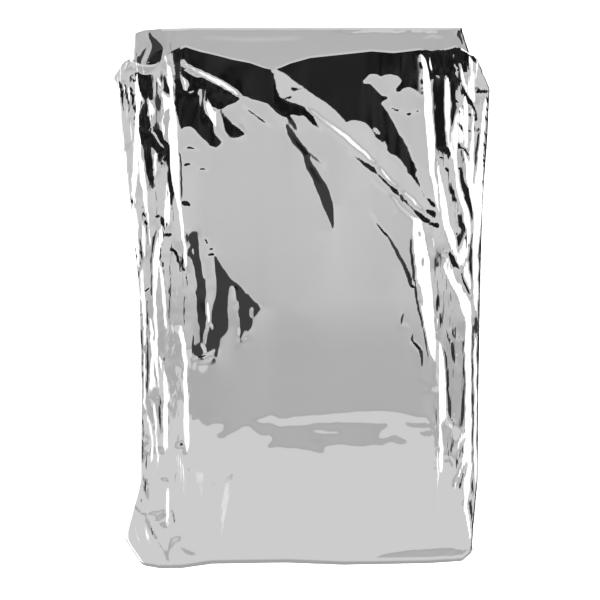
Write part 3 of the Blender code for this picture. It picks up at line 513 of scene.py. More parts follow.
# The long pleats on the right, from the middle outwards.
RIGHT_PLEATS = (
    Band("crease", STEEP_LEFT, (55, 421, 423), (60, 420.4, 426.6), (66, 424, 427.2), (77.6, 422.8, 428.8),
        (87, 423.2, 430), (100, 424.4, 431.2), (114, 424.7, 432), (140.5, 426.7, 434.6),
        (154, 427.6, 435.2), (174, 429.4, 435.4), (190, 432.6, 437.4), (207, 436.2, 439),
        (214, 438, 438.8)),
    Line("crease_thin", STEEP_LEFT, (429.8, 54, 0.8), (431, 68, 1.8), (432.6, 87, 0.9)),
    Band("pleat_dark", DEEP_RIGHT, (76, 432, 446), (90, 432.4, 444.4), (104, 432.8, 443.8),
        (128, 434.6, 445), (140, 435, 445.2), (149, 435.6, 447.6), (152.6, 444, 448.8)),
    Line("pleat_fleck", STEEP_LEFT, (433.6, 74.6, 0.8), (438.6, 76.2, 1.6)),
    Line("pleat_fleck_b", FLAT, (434.4, 104, 1.8), (434.8, 110, 1.6)),
    Line("pleat_tick", FLECK, (437, 158, 0.8), (440, 157.4, 2), (442.8, 159.4, 0.8)),
    Line("pleat_tick_b", RIGHT, (445.6, 168, 1), (448.4, 172.4, 2.4)),
    Band("second_white", STEEP_LEFT, (78, 447, 448), (81.6, 444.9, 448.7), (100, 444.2, 449.8),
        (127, 445.3, 450), (140, 447, 450.8), (152.6, 448.7, 452.4), (160, 451, 453)),
    Band("second_dark", DEEP_RIGHT, (72, 450, 460), (82, 449.4, 462), (90, 450, 454.6), (100, 450.4, 456.4),
        (106, 451.4, 460), (111.6, 450.8, 458), (118, 450.6, 454), (127, 450.4, 452.4)),
    Line("fleck_top", STEEP_LEFT, (453.6, 61, 0.8), (455, 53.6, 1.6)),
    Line("streak_a", STEEP_LEFT, (455.6, 64, 0.8), (457, 75, 1.5)),
    Line("streak_b", STEEP_LEFT, (460.8, 66, 1), (462, 75, 1.8), (463.4, 84, 2)),
    Patch("mass", STEEP_LEFT, (463, 76), (466, 84), (469.5, 80), (471, 72), (476, 64), (478, 59),
        (481.4, 64), (478, 72), (475.4, 84), (474.6, 94), (474, 103), (467, 92), (464.4, 92), (463.8, 86)),
    Patch("mass_low", STEEP_LEFT, (465, 94), (468, 106), (468.4, 120), (468.4, 148), (460.6, 145),
        (456, 150), (451.6, 148), (450.8, 132), (455.4, 114), (457.4, 109), (461, 112), (463, 104)),
    Line("mass_fleck", UP_LEFT, (458.4, 123, 0.9), (460.6, 127, 2), (462.6, 131.4, 1)),
    Line("streak_c", STEEP_LEFT, (455.6, 102.6, 0.8), (458.4, 106.4, 2), (462, 111.6, 0.8)),
    Patch("wedge_dark", DEEP_RIGHT, (464.8, 94.6), (473.7, 105.7), (474.2, 118), (469.5, 107)),
    Band("slit_dark", RIGHT, (104, 467.8, 469.6), (120, 468.4, 471.4), (136, 468.6, 471.8),
        (148.6, 467.8, 469.4)),
    Band("slit_white", STEEP_LEFT, (104, 470.2, 472), (118, 471.8, 474), (140, 470, 473),
        (160, 470.4, 472.6), (176, 472.4, 474)),
    Patch("wedge_low", DEEP_RIGHT, (458.7, 144.3), (463, 147), (467.8, 149.5), (469, 158), (467.6, 170),
        (463, 160)),
    Patch("ear_black", UP_LEFT, (474.6, 85.8), (480, 85), (487.6, 89), (484, 93.7), (476.8, 95.7)),
    Band("edge_white", STEEP_LEFT, (97.7, 484.2, 487.6), (112, 482.6, 487), (130, 480.4, 485.8),
        (154, 477.5, 483), (170, 475, 482.4), (194, 473.6, 482), (215, 473.4, 481.2), (230, 472.8, 480.4),
        (246, 472.4, 477.6), (280, 472.6, 477.6), (308, 474, 477.4), (314, 475.4, 477)),
    Band("edge_dark", RIGHT, (130, 478.6, 480.2), (142, 475.6, 479.2), (154, 473.4, 477.6),
        (162, 473, 476.6), (168, 474.8, 476)),
    Band("third_white", STEEP_LEFT, (150, 452.8, 455), (160, 453, 457), (180, 455.4, 458.4),
        (192, 457, 462), (206, 461, 468.4), (222, 464, 471), (238, 466, 471.2), (248.5, 458, 469),
        (258, 457, 466.4), (264, 457.6, 460)),
    Band("third_wedge", DEEP_RIGHT, (168, 459.6, 460.6), (180, 460.6, 463), (196, 464.4, 469.6),
        (208, 467, 471.4), (221, 471.4, 472.8)),
    Band("third_white_b", STEEP_LEFT, (150, 463, 464), (162, 465, 470), (180, 466, 473), (200, 470, 473.4),
        (212, 472, 473)),
    Line("grey_streak", RIGHT, (451, 176, 0.8), (452, 190, 2.6), (452.6, 201, 2.8)),
    Band("second_crease", STEEP_LEFT, (160, 436.6, 437.6), (180, 437.4, 441.6), (200, 439, 446),
        (223, 442.9, 449.2), (237, 446.4, 454.8), (248.5, 450.5, 457), (262, 455.6, 457.6)),
    Patch("v_dark", DEEP_RIGHT, (455, 236.6), (456.3, 248.5), (459.4, 243.4), (467, 231.9), (464.6, 227.4),
        (461, 212.8), (459.4, 219), (460.7, 230.6), (457.4, 235.4)),
    Band("strip_dark", RIGHT, (230.6, 471, 471.8), (246, 469.6, 472), (256, 468.2, 472.2),
        (261, 467, 472.2), (271.4, 469.4, 472.4), (283, 471.4, 472.2)),
    Line("slant_dark", RIGHT, (456.6, 264.6, 1.4), (461, 275, 3.2), (466.6, 288, 2.6), (472, 299.6, 1.2)),
    Band("triangle_white", STEEP_LEFT, (263, 465.6, 467.2), (270, 462.6, 468.6), (280, 464, 470),
        (290, 468.6, 471)),
    Patch("slant_white", STEEP_LEFT, (440.3, 266), (444, 262), (450, 270), (455, 279), (461, 289),
        (466.4, 296), (470.6, 304), (472.6, 313), (466, 320), (462.4, 312), (457.6, 298), (450, 284),
        (445, 275)),
    Band("slant_thin", STEEP_LEFT, (236, 432.4, 433.4), (244, 432.8, 434), (251, 433, 434.6),
        (256, 444.6, 447.6), (264, 447, 450.4), (276, 452, 454.6), (290, 459, 461), (300, 464.4, 466)),
    Patch("diamond", RIGHT, (433.3, 258.7), (436.5, 251), (441.6, 254.8), (442.4, 260), (438.4, 266.6),
        (434, 262.5)),
    Line("scribble", RIGHT, (442.6, 248, 1.2), (446.4, 255, 2.6)),
    Band("edge_line", RIGHT, (98, 487.4, 488.6), (130, 485.4, 486.6), (160.6, 483, 484.2),
        (219.5, 481.4, 482.6), (237, 480.6, 481.4), (242, 478.6, 480.6), (254, 477.2, 480.2),
        (266, 477.8, 479.6), (302, 477.8, 479.2), (335, 477, 478.8), (384, 476, 477.8), (424, 475.8, 477.8),
        (470, 476.4, 477.8), (484, 477, 477.8)),
    Band("long_white", STEEP_LEFT, (217.9, 412.2, 421), (229, 412.5, 424), (251, 412.9, 427.6),
        (265, 414, 429.6), (279, 415.4, 431.4), (302, 417.5, 432.8), (318.6, 422.4, 434),
        (330, 424.6, 434.8), (350.5, 428, 435.5), (361, 433, 436)),
    Line("long_spot_a", FLAT, (419, 231, 1.6), (419.6, 236, 2)),
    Line("long_spot_b", FLAT, (422.4, 259, 1.8), (423, 265, 2)),
    Line("long_streak", FLAT, (418.8, 284, 0.8), (421.4, 298, 2.6), (422, 308, 0.8)),
    Band("long_shade", RIGHT, (236, 411.2, 412), (250, 410.8, 412.4), (266, 412.4, 413.2),
        (289, 415.4, 417), (306, 417.4, 418.8), (321, 421, 423), (338, 423.8, 426.2), (352.4, 426, 427.6),
        (358, 427.6, 428.4)),
    Band("second_band", STEEP_LEFT, (342, 437.6, 438.6), (345, 437.8, 441.6), (353, 437.8, 442.6),
        (366, 438.2, 445.4), (400, 438.6, 446), (416, 438.8, 445.8), (424, 439, 443)),
    Band("second_band_shade", RIGHT, (346, 442, 443), (358, 444.2, 445.6), (366, 445.6, 447),
        (392, 446.2, 447.8), (405, 447, 450.2), (418, 448.4, 452.6), (424, 449, 453.2),
        (432, 451.6, 453.8)),
    Line("band_foot", UP_LEFT, (439.4, 426.6, 2), (443.4, 423.4, 2.8), (446, 421, 1.4)),
    Line("band_foot_shine", STEEP_LEFT, (446.4, 420.6, 1.6), (450, 425, 4.4), (452, 430, 1.4)),
    Band("foot_shine", STEEP_LEFT, (427, 439.6, 440.4), (436, 439.2, 443.4), (452, 439.6, 443.4),
        (466, 440, 442), (472, 440.2, 441)),
    Line("tear_a", RIGHT, (436.6, 296, 0.8), (437.2, 305, 3.4), (435.8, 310, 2), (437, 314, 1.6)),
    Patch("tear_b", RIGHT, (438.4, 315.4), (441.2, 311), (443, 313), (442.4, 322.4), (439.7, 327.6),
        (436.5, 330.4), (439.4, 322.4)),
    Line("tear_shine", STEEP_LEFT, (436.6, 316, 1.4), (437.2, 322, 2.4), (436.6, 328, 1.2)),
    Patch("triangle_dark", RIGHT, (448.2, 333), (454.3, 326.6), (459.6, 333.9), (463, 341.8),
        (453.4, 337.8)),
    Band("streak_dark", RIGHT, (330, 444, 445.8), (337.8, 446, 449.6), (344, 449.6, 453.4),
        (353, 450.8, 454.2), (360, 452.6, 455), (367, 455, 456.8), (369, 455.4, 456.2)),
    Band("inner_shade", RIGHT, (338, 463.4, 464), (346, 463, 465), (366, 462.4, 464.2), (378, 463.2, 465.6),
        (396, 461.4, 465.2), (405, 461, 464.8), (420, 459.6, 463), (429, 459, 462)),
    Line("inner_knot", RIGHT, (455, 428.4, 1.2), (459.6, 428.4, 2.8), (463.6, 429.6, 1.6)),
    Band("outer_white", STEEP_LEFT, (318, 465.6, 468.6), (324, 465.6, 470), (353, 464.4, 470.6),
        (378, 465.6, 470.6), (400, 465.4, 470.4), (424, 466, 470.8), (436, 464.6, 471.4),
        (446, 462.4, 471.2), (458, 461, 470.8), (470, 462.8, 471), (484, 462.6, 470.2), (498, 464, 467),
        (510, 465.4, 466.8)),
    Band("outer_line", RIGHT, (334, 471.4, 473), (352, 471.2, 472.8), (370, 471, 472.4),
        (380, 470.8, 473.6), (424, 471, 473.4), (436, 471.6, 473), (470, 471.4, 472.8), (494, 471, 472.2)),
    Band("outer_shine", STEEP_LEFT, (334, 473.6, 475.4), (360, 473.4, 475.8), (380, 474, 475),
        (388, 473.8, 476), (424, 473.6, 475.6), (454, 473.6, 476), (479, 474.6, 477.4), (486, 475.6, 477)),
    Patch("knot", RIGHT, (469, 320), (472.2, 315.4), (477.3, 313.3), (478.6, 327.6), (477.3, 335.4),
        (471.8, 334.2), (470.3, 325)),
    Line("knot_shine", STEEP_LEFT, (470.6, 318.6, 1.4), (472.4, 323, 1.6)),
    Band("low_white", STEEP_LEFT, (432, 459, 466), (440, 457.4, 463.4), (450, 455.4, 459.4),
        (457, 454.4, 456.6)),
    Line("low_slash", RIGHT, (465.8, 438.6, 1), (461, 447, 2.2), (454.4, 456.6, 1.4)),
    Patch("low_crumple", RIGHT, (463, 446), (463.6, 454), (458.6, 462), (455.4, 467), (454.8, 460),
        (459, 453)),
    Line("low_spot", RIGHT, (453.6, 439.6, 1.4), (452, 446, 3.6), (450, 451.6, 2.4)),
    Line("low_hook", RIGHT, (445.4, 468, 2), (446, 461.6, 3), (451, 462, 3), (452.6, 470, 1.4)),
    Line("low_slant", RIGHT, (468.4, 461.6, 0.8), (464.6, 470, 3), (461, 478, 3.8), (458.6, 488, 4.4)),
    Line("low_slant_shine", STEEP_LEFT, (464, 462, 1.4), (458.4, 476, 3.2), (455.6, 486, 1.2)),
    Patch("foot_box", RIGHT, (467.7, 497.3), (472.3, 498.4), (471.8, 511.4), (469.2, 512), (466.3, 507.6)),
    Band("foot_line", RIGHT, (512, 469.8, 471.4), (520, 470.4, 472.2), (530, 471.4, 473),
        (537, 472.2, 473)),
    Band("foot_edge", STEEP_LEFT, (502, 464, 465.4), (512, 464.8, 467.6), (520, 467.4, 470),
        (530, 468.8, 471), (540, 471, 472.6)),
    Line("stray_tick_a", RIGHT, (400, 326, 1.6), (401.2, 318.6, 4.6), (404.6, 311.6, 1.2)),
    Line("stray_tick_b", RIGHT, (403.6, 324, 1.8), (406.8, 326, 2.8)),
    Line("stray_hook", RIGHT, (412.4, 331.6, 1.4), (411.6, 340.6, 3.4), (416, 346, 3.2), (420.4, 351, 5.8),
        (421.8, 358, 4.6), (421.8, 367, 1.8)),
    Line("stray_shine_a", LOW, (418.6, 379.8, 1.6), (427, 384.2, 2.6), (436.5, 388.8, 2)),
    Line("stray_shine_b", LOW, (422.4, 393.8, 1.8), (436.5, 390.9, 2.2)),
    Patch("hem_shade", SOFT, (360, 563), (380, 555.6), (400, 551.6), (420, 549.6), (440, 549), (465.8, 548),
        (473, 545), (476, 552), (474, 572), (360, 572)),
    Line("hem_line", GLEAM, (437, 426, 2), (437.4, 480, 2.4), (437.8, 530, 1.2)),
)

# Where the panel starts to fall towards the bottom fold.
COAST = (
    Patch("coast", LOW, (189.9, 424.6), (197.6, 419.5), (200.8, 426.6), (208.4, 427.8), (210.3, 434.8),
        (217.3, 436), (214.8, 439.3), (222.4, 441.2), (230, 434.8), (242.9, 425.3), (249.2, 426.6),
        (256.9, 433.6), (263.3, 436), (270.9, 434.8), (272.2, 438.7), (266.5, 448.9), (282.4, 447.6),
        (300, 448.9), (307.7, 450.2), (314.6, 451.4), (320.4, 461), (329, 464.4), (339.4, 460.6),
        (328, 456.4), (325, 452.6), (325.4, 446.3), (340.8, 443.8), (351, 446.3), (361.2, 447.6),
        (372.7, 445), (381.6, 446.3), (389.3, 442.5), (398.2, 444.4), (409, 442.5), (400.8, 438.7),
        (394.4, 434.8), (386.7, 438.7), (377.8, 438.7), (384.2, 429), (389.3, 424), (361.2, 422.7),
        (338.3, 423.4), (315.3, 424), (300, 425.9), (278.6, 427.2), (269.6, 424.6), (259.4, 424.6),
        (250.5, 419.5), (259.4, 418.3), (270.9, 413.8), (278.6, 418.3), (300, 417), (331.9, 413.4),
        (361.2, 411.6), (395.7, 411.9), (412.2, 415.7), (427.6, 417.6), (431.4, 422.7), (437, 424),
        (437, 470), (300, 470), (190, 470)),
    Patch("pool", LOW, (210, 424), (216, 422.7), (224.6, 424.6), (222, 431), (213, 434.8), (210.4, 430)),
    Patch("wisp", LOW, (307.7, 429.3), (325.5, 430.6), (341, 431.4), (338.3, 434.6), (325.5, 434.6),
        (312.8, 432.7)),
    Line("wisp_low", LOW, (312.6, 440.4, 1.6), (321.7, 441.6, 2.2)),
    Line("dash_a", SOFT, (404.6, 423.6, 2), (418, 425.4, 2.8), (434, 427.6, 1.8)),
    Line("dash_b", SOFT, (419.8, 433, 1.6), (427, 434, 3.4), (435.2, 433.4, 1.8)),
    Line("dash_c", SOFT, (191, 438.4, 1), (205, 438.2, 1.8)),
)

FOLDS = (
    LEFT_EAR + TOP_FALLS + DIAGONAL + PANEL_DENTS + TOP_SHINES
    + LEFT_PLEATS + LEFT_FOOT + RIBS + RIGHT_PLEATS + COAST
)

# The same for the end of the back half, which shows past the front half.
FLAP_FOLDS = (
    Band("rim", LOW, (20, 132, 470), (26.8, 132, 470)),
    Patch("fold", RIB, (146, 30), (149.6, 32.6), (156, 39), (162.6, 46), (160, 51.4), (159, 60), (155, 66),
        (142, 66), (141.6, 63), (146, 54), (148.7, 48.6), (149.4, 43), (147.5, 36)),
    Patch("wedge", RIB, (133.4, 47.3), (137.3, 53.7), (143.6, 43.5), (148.7, 43), (146, 48), (141, 57.5),
        (140.4, 64), (136, 62), (134.7, 56.3)),
    Line("wedge_light", FLAT, (147.4, 44.5, 1.6), (144.2, 52, 3.2), (140.8, 60, 1.8)),
    Line("tick", RIB, (168.6, 32, 1), (169, 40, 1.8), (168.6, 49, 1.8)),
    Patch("end_fold", RIB, (458.6, 28.6), (462, 28), (463.8, 34), (466, 42), (464.6, 45), (461.4, 36),
        (456.6, 32)),
    Line("left_line", GLEAM, (133.2, 34, 1.6), (134.2, 46, 1.4)),
    Line("sheen_a", FLAT, (205, 35, 2), (250, 38, 4), (300, 36, 2)),
    Line("sheen_b", PALE, (426, 36, 1.6), (434, 33, 2.4), (444, 36, 1.6)),
    Line("sheen_c", LOW, (336, 30, 1), (380, 29, 1.6), (440, 29.6, 1)),
)

# How the crumpled film breaks into small facets: spacing across and along the sheet, and their height.
Crumple = namedtuple("Crumple", "across along height seed")
SIDE_CRUMPLES = (
    Crumple(1.1, 5.0, 0.045, 11),
    Crumple(0.7, 1.9, 0.022, 12),
)
PANEL_CRUMPLES = (Crumple(11.0, 17.0, 0.050, 21),)
FACET_BEND = 0.35  # how far the facets' corners stray, as a share of their spacing
FACET_BENDS = (0.7, 2.0)  # the size of that straying, in facets along and across
FACET_SKEW = 0.23  # how far each row of facets is set off the one below

# Soft uneven forms: the width of a hill, how many times longer it is along the sheet, its random seed, and
# its share in the whole.
Noise = namedtuple("Noise", "size stretch seed share")
WAVER_ACROSS = (Noise(1.3, 1.0, 31, 1.0), Noise(0.6, 1.0, 32, 0.6))
WAVER_ALONG = (Noise(1.6, 1.0, 33, 1.0), Noise(0.7, 1.0, 34, 0.6))
STREAKS = (Noise(1.5, 9.0, 35, 1.0), Noise(0.8, 6.0, 36, 1.0))
DENTS = (Noise(9.0, 1.0, 40, 0.7), Noise(3.0, 1.0, 60, 0.3))
DENT_DEPTH = 0.07  # of the leaves further back
DENT_FADE = 6.0  # how far from a leaf's ends its dents are whole
WAVER = 0.16  # how far the drawn edges of the folds waver

SIDE_WIDTH = 13.5  # how far in from its sides the film is crumpled
SIDE_RISE = 3.0  # how fast the crumpling grows to its full strength, in widths of the side
FOOT_CRUMPLE = 0.25  # how strong it still is at the bottom end
FOOT_CRUMPLE_Y = -45.0  # below which it is so, and the length over which it grows
FOOT_CRUMPLE_LENGTH = 8.0
CRUMPLED_SHARE = 0.4  # the strength past which the film strays as SIDE_STRAY says
STREAKS_FROM_Y = -35.0  # where the streaks of the sides start
FIELD_STEP = 0.2  # spacing of the grid on which the folds are worked out
FIELD_MARGIN = 3.0
FIELD_PASSES = 48
FIELD_REACH = 45.0  # how far a fold's height carries before the film comes back to its leaf
OVERPUSH = 1.7  # how much more than its miss a slope is pushed, which settles the film sooner
LAST_PASSES = 3  # in which it is pushed by its miss alone
HOLD_DOWN = 0.04  # how strongly the film is held to its leaf
FOLD_MARGIN = 6  # how far past a fold's points it is looked for, in points of the sheet
THIN_BAND = 2.1  # the narrowest that a strip is taken as, in points: the field shows nothing finer
EYE_HEIGHT = 1.0e3  # the film is looked at from this far above, so its ends are seen a little aslant

# Mesh resolution: spacing along the front leaf, and the columns across the strip.
FRONT_SPACING_FINE = 0.37  # over the pleated part
FRONT_SPACING = 0.50
FINE_FROM_Y = -14.0
CALM_BELOW_Y = -41.0
SIDE_ZONE = 0.17  # the share of the width, at each side, that holds the upright pleats
COLUMNS = {  # in each side zone, and between them
    "fine": (58, 158),
    "even": (54, 96),
    "calm": (40, 78),
    "flap": (42, 60),
    "medium": (12, 40),
    "coarse": (4, 8),
}
EDGE_PASSES = 6  # in which the points of a row find their leaf's edges and ends
RIM_POINTS = 5
RIM_LOBES = 2
RIM_BUMP = 2.6  # the length of a bump along a rim
TURN_RIM = 0.4  # how much longer the bumps are around a turn, as a share
RIM_FLAT, RIM_LOBE, RIM_STRAY = 0.35, 0.45, 0.30  # what a rim's depth is made up of
LOBE_POWER = 0.6  # how round its layers are
RIGHT_RIM_SEED, LEFT_RIM_SEED = 70, 71
LAYER_STEP, LEAF_STEP = 57, 10  # these set the random numbers of the layers and the leaves apart
BACK_ROWS = 44
HIDDEN_ROWS = 20
ROW_CROWDING = 0.4  # how much closer those rows lie at the ends of a leaf
FLAP_SPACING = 0.36  # along the part of the back half that shows past the front half
FLAP_FROM_Y = 49.0
FLAP_RISE_Y = 49.6  # where its own folds start, and the length over which they rise
FLAP_RISE_LENGTH = 2.2
FLAP_HIDDEN_ROWS = 12
RELIEF_FADE = 0.83  # the share of a turn over which the relief of its leaf fades
TURN_ROWS = {(8, 1): 18, (1, 4): 11, (4, 5): 7, (5, 6): 9, (6, 3): 8, (3, 2): 6, (2, 7): 10}

# What scatters the random numbers: large odd factors, and the bits that are kept.
HASH_STEPS = (374761393, 668265263, 974634777)
HASH_MIX = 1274126177
HASH_BITS = 0xFFFFFFFF


def eased(t):
    """0 to 1 with a soft start and end."""
    t = np.clip(t, 0.0, 1.0)
    return t * t * (3.0 - 2.0 * t)


def between(table, column, y):
    """The value of a table's column at a height between its rows."""
    keys = np.array([row.y for row in table])
    values = np.array([getattr(row, column) for row in table])
    order = np.argsort(keys)
    return np.interp(y, keys[order], values[order])


def end_line(table, x):
    """y of an end of the packet at x."""
    xs, ys = zip(*table)
    return np.interp(x, xs, ys)


def drawn_y(y):
    """Where a height on the packet lies down the drawn sheet."""
    return SHEET_MIDDLE.y - y / POINT


def side_edge(leaf, side, y):
    """x of a leaf's left or right edge at height y."""
    half = "front" if leaf <= LEAF_COUNT // 2 else "back"
    row = INSETS[leaf - 1]
    insets = [getattr(row, f"{side}_{part}") for part in ("bottom", "low", "middle", "top")]
    inset = np.interp(y, INSET_HEIGHTS[::-1], insets) + RIM_DEPTH
    edge = between(OUTLINE, f"{half}_{side}", y)
    return edge + inset if side == "left" else edge - inset


def half_round(leaf_a, leaf_b):
    """How far a round turn between two leaves bulges."""
    return abs(leaf_a - leaf_b) * LEAF_PITCH / 2


def turn_reach(leaf_a, leaf_b):
    """How far the middle of a turn bulges past the line where it starts."""
    if (leaf_a, leaf_b) in SHARP_TURNS:
        return 0.0
    return BOTTOM_REACH if {leaf_a, leaf_b} == {1, LEAF_COUNT} else half_round(leaf_a, leaf_b)


def turn_line(leaf, end, x):
    """y of the line where a leaf ends and its turn begins."""
    half_thickness = LEAF_THICKNESS / 2
    if end == "bottom":
        reach = turn_reach(1, LEAF_COUNT) if leaf in (1, LEAF_COUNT) else half_round(1, LEAF_COUNT)
        return end_line(BOTTOM, x) + reach + half_thickness
    if leaf in (1, 4):
        return end_line(FRONT_TOP, x) - turn_reach(1, 4) - half_thickness
    if leaf in (2, 3):
        notch = NOTCH_SETBACK * eased((NOTCH_END_X - x) / NOTCH_FADE)
        return end_line(FRONT_TOP, x) - half_round(1, 4) - half_thickness - INNER_SETBACK - notch
    return end_line(BACK_TOP, x) - turn_reach(5, 6) - half_thickness


def bilinear(grid, x0, y0, step_x, step_y, x, y):
    """The value of a grid at points, read between the grid's points."""
    column = np.clip((x - x0) / step_x, 0, grid.shape[1] - LAST_CELL)
    row = np.clip((y - y0) / step_y, 0, grid.shape[0] - LAST_CELL)
    i, j = column.astype(int), row.astype(int)
    s, t = column - i, row - j
    low = grid[j, i] * (1 - s) + grid[j, i + 1] * s
    high = grid[j + 1, i] * (1 - s) + grid[j + 1, i + 1] * s
    return low * (1 - t) + high * t


def hashed(i, j, seed):
    """An even random number from -1 to 1 for each lattice point, the same in each run."""
    by_i, by_j, by_seed = HASH_STEPS
    h = (i.astype(np.int64) * by_i + j.astype(np.int64) * by_j + seed * by_seed) & HASH_BITS
    h = ((h ^ (h >> 13)) * HASH_MIX) & HASH_BITS
    return ((h ^ (h >> 16)) & 0xFFFF) / 32767.5 - 1.0


def smooth_noise(x, y, size, seed):
    """Soft hills and hollows of about this size, from -1 to 1."""
    i, j = np.floor(x / size), np.floor(y / size)
    s, t = eased(x / size - i), eased(y / size - j)
    low = hashed(i, j, seed) * (1 - s) + hashed(i + 1, j, seed) * s
    high = hashed(i, j + 1, seed) * (1 - s) + hashed(i + 1, j + 1, seed) * s
    return low * (1 - t) + high * t


def layered_noise(x, y, layers, seed=0):
    """Several noises laid over one another, each in its share."""
    return sum(row.share * smooth_noise(x, y / row.stretch, row.size, row.seed + seed) for row in layers)


def facets(x, y, crumple):
    """Heights of flat three-cornered facets, as film that was crushed and pressed flat again."""
    bend_along, bend_across = FACET_BENDS
    x = x + FACET_BEND * crumple.across * smooth_noise(x, y, crumple.along * bend_along, crumple.seed + 1)
    y = y + FACET_BEND * crumple.along * smooth_noise(x, y, crumple.across * bend_across, crumple.seed + 2)
    skewed = x / crumple.across + FACET_SKEW * y / crumple.along
    i, j = np.floor(skewed), np.floor(y / crumple.along)
    s, t = skewed - i, y / crumple.along - j
    a, b = hashed(i, j, crumple.seed), hashed(i + 1, j, crumple.seed)
    c, d = hashed(i, j + 1, crumple.seed), hashed(i + 1, j + 1, crumple.seed)
    lower = a + (b - a) * s + (c - a) * t
    upper = d + (c - d) * (1 - s) + (b - d) * (1 - t)
    return crumple.height * np.where(s + t < 1, lower, upper)


class LeafStack:
    """Heights of the middles of the leaves, each draped on those under it, on a grid over the packet."""

    def __init__(self):
        half_width = PACKET_WIDTH / 2 + GRID_MARGIN
        half_length = PACKET_LENGTH / 2 + GRID_MARGIN
        self.x = np.arange(-half_width, half_width + GRID_X, GRID_X)
        self.y = np.arange(-half_length, half_length + GRID_Y, GRID_Y)
        grid_x, grid_y = np.meshgrid(self.x, self.y)
        lowest = LEAF_THICKNESS / 2 + self.rest_hollow(grid_x, grid_y)
        pitch = LEAF_PITCH + self.loft(grid_y) / (LEAF_COUNT - 1)
        self.heights = {}
        for leaf in range(LEAF_COUNT, 0, -1):
            height = self.draped(lowest)
            self.heights[leaf] = height
            covered = self.covered(leaf, grid_x, grid_y)
            step = pitch + {2: FRONT_GAP, 5: BACK_GAP}.get(leaf, 0.0)
            lowest = np.where(covered, height + step, lowest)

    @staticmethod
    def loft(y):
        """How much all the leaves together puff up, so that the front panel leans as PANEL_FALL says."""
        along = np.arange(-PACKET_LENGTH / 2, PACKET_LENGTH / 2 + LOFT_STEP, LOFT_STEP)
        fall = between(PANEL_FALL, "up", drawn_y(along)) + between(TOP_FALL, "up", drawn_y(along))
        rise = np.cumsum((along / (2 * EYE_HEIGHT) - fall) * LOFT_STEP)
        return np.interp(y, along, rise - rise.min())

    @staticmethod
    def rest_hollow(x, y):
        across, along = x / REST_HALF_WIDTH, (y - REST_CENTRE_Y) / REST_HALF_LENGTH
        return REST_HOLLOW * np.clip(1.0 - np.abs(across * along) ** 4, 0.0, 1.0)

    @staticmethod
    def covered(leaf, x, y):
        """Where a leaf lies, out to the reach at which the one above it starts to fall."""
        top = end_line(FRONT_TOP if leaf <= LEAF_COUNT // 2 else BACK_TOP, x)
        inside_left = x > side_edge(leaf, "left", y) - DRAPE_REACH
        inside_right = x < side_edge(leaf, "right", y) + DRAPE_REACH
        inside_ends = (y < top + DRAPE_REACH) & (y > end_line(BOTTOM, x) - DRAPE_REACH)
        return inside_left & inside_right & inside_ends

    @staticmethod
    def draped(lowest):
        """A sheet laid on the heights in lowest, that falls past an edge no steeper than DRAPE_SLOPE."""
        height = lowest.copy()
        for axis, step in ((1, GRID_X), (0, GRID_Y)):
            height = np.moveaxis(height, axis, 0)
            for i in range(1, len(height)):
                height[i] = np.maximum(height[i], height[i - 1] - DRAPE_SLOPE * step)
            for i in range(len(height) - 2, -1, -1):
                height[i] = np.maximum(height[i], height[i + 1] - DRAPE_SLOPE * step)
            height = np.moveaxis(height, 0, axis)
        for _ in range(SMOOTHING_PASSES):
            padded = np.pad(height, 1, mode="edge")
            along = padded[:-2, 1:-1] + padded[2:, 1:-1]
            across = padded[1:-1, :-2] + padded[1:-1, 2:]
            height = np.maximum((2.0 * height + along + across) / 6.0, lowest)
        return height

    def at(self, leaf, x, y):
        return bilinear(self.heights[leaf], self.x[0], self.y[0], GRID_X, GRID_Y, x, y)


def off_piece(start, end, x, y):
    """How far along a straight piece each point lies, from 0 to 1, and how far off it."""
    run_x, run_y = end[0] - start[0], end[1] - start[1]
    t = np.clip(((x - start[0]) * run_x + (y - start[1]) * run_y) / (run_x**2 + run_y**2), 0, 1)
    return t, np.hypot(x - start[0] - t * run_x, y - start[1] - t * run_y)


def inside_outline(outline, x, y):
    """How far each point lies inside an area, negative outside it."""
    inside = np.zeros(x.shape, bool)
    nearest = np.full(x.shape, 1e9)
    for (x1, y1), (x2, y2) in zip(outline, outline[1:] + outline[:1]):
        if y1 != y2:
            crosses = (y1 > y) != (y2 > y)
            inside ^= crosses & (x < (x2 - x1) * (y - y1) / (y2 - y1) + x1)
        nearest = np.minimum(nearest, off_piece((x1, y1), (x2, y2), x, y)[1])
    return np.where(inside, nearest, -nearest)


def inside_line(path, x, y):
    """How far each point lies inside a crease of changing width, negative outside it."""
    deepest = np.full(x.shape, -1e9)
    for start, end in zip(path, path[1:]):
        t, distance = off_piece(start, end, x, y)
        deepest = np.maximum(deepest, (start[2] + (end[2] - start[2]) * t) / 2 - distance)
    return deepest


def inside_band(levels, x, y):
    """How far each point lies inside a strip, negative outside it."""
    heights = [level[0] for level in levels]
    left = np.interp(y, heights, [level[1] for level in levels])
    right = np.interp(y, heights, [level[2] for level in levels])
    spare = np.maximum(0.0, THIN_BAND - (right - left)) / 2
    ends = np.minimum(y - heights[0], heights[-1] - y)
    return np.minimum(np.minimum(x - left, right - x) + spare, ends)


def reach_of(fold):
    """The smallest and largest x and y of a fold, in points of the sheet."""
    if isinstance(fold, Band):
        xs = [edge for level in fold.points for edge in level[1:]]
        ys = [level[0] for level in fold.points]
    else:
        xs = [point[0] for point in fold.points]
        ys = [point[1] for point in fold.points]
    return min(xs) - FOLD_MARGIN, max(xs) + FOLD_MARGIN, min(ys) - FOLD_MARGIN, max(ys) + FOLD_MARGIN


def depth_inside(fold, x, y):
    """How far each point lies inside a fold, negative outside it."""
    inside = {Patch: inside_outline, Band: inside_band, Line: inside_line}[type(fold)]
    return inside(fold.points, x, y)


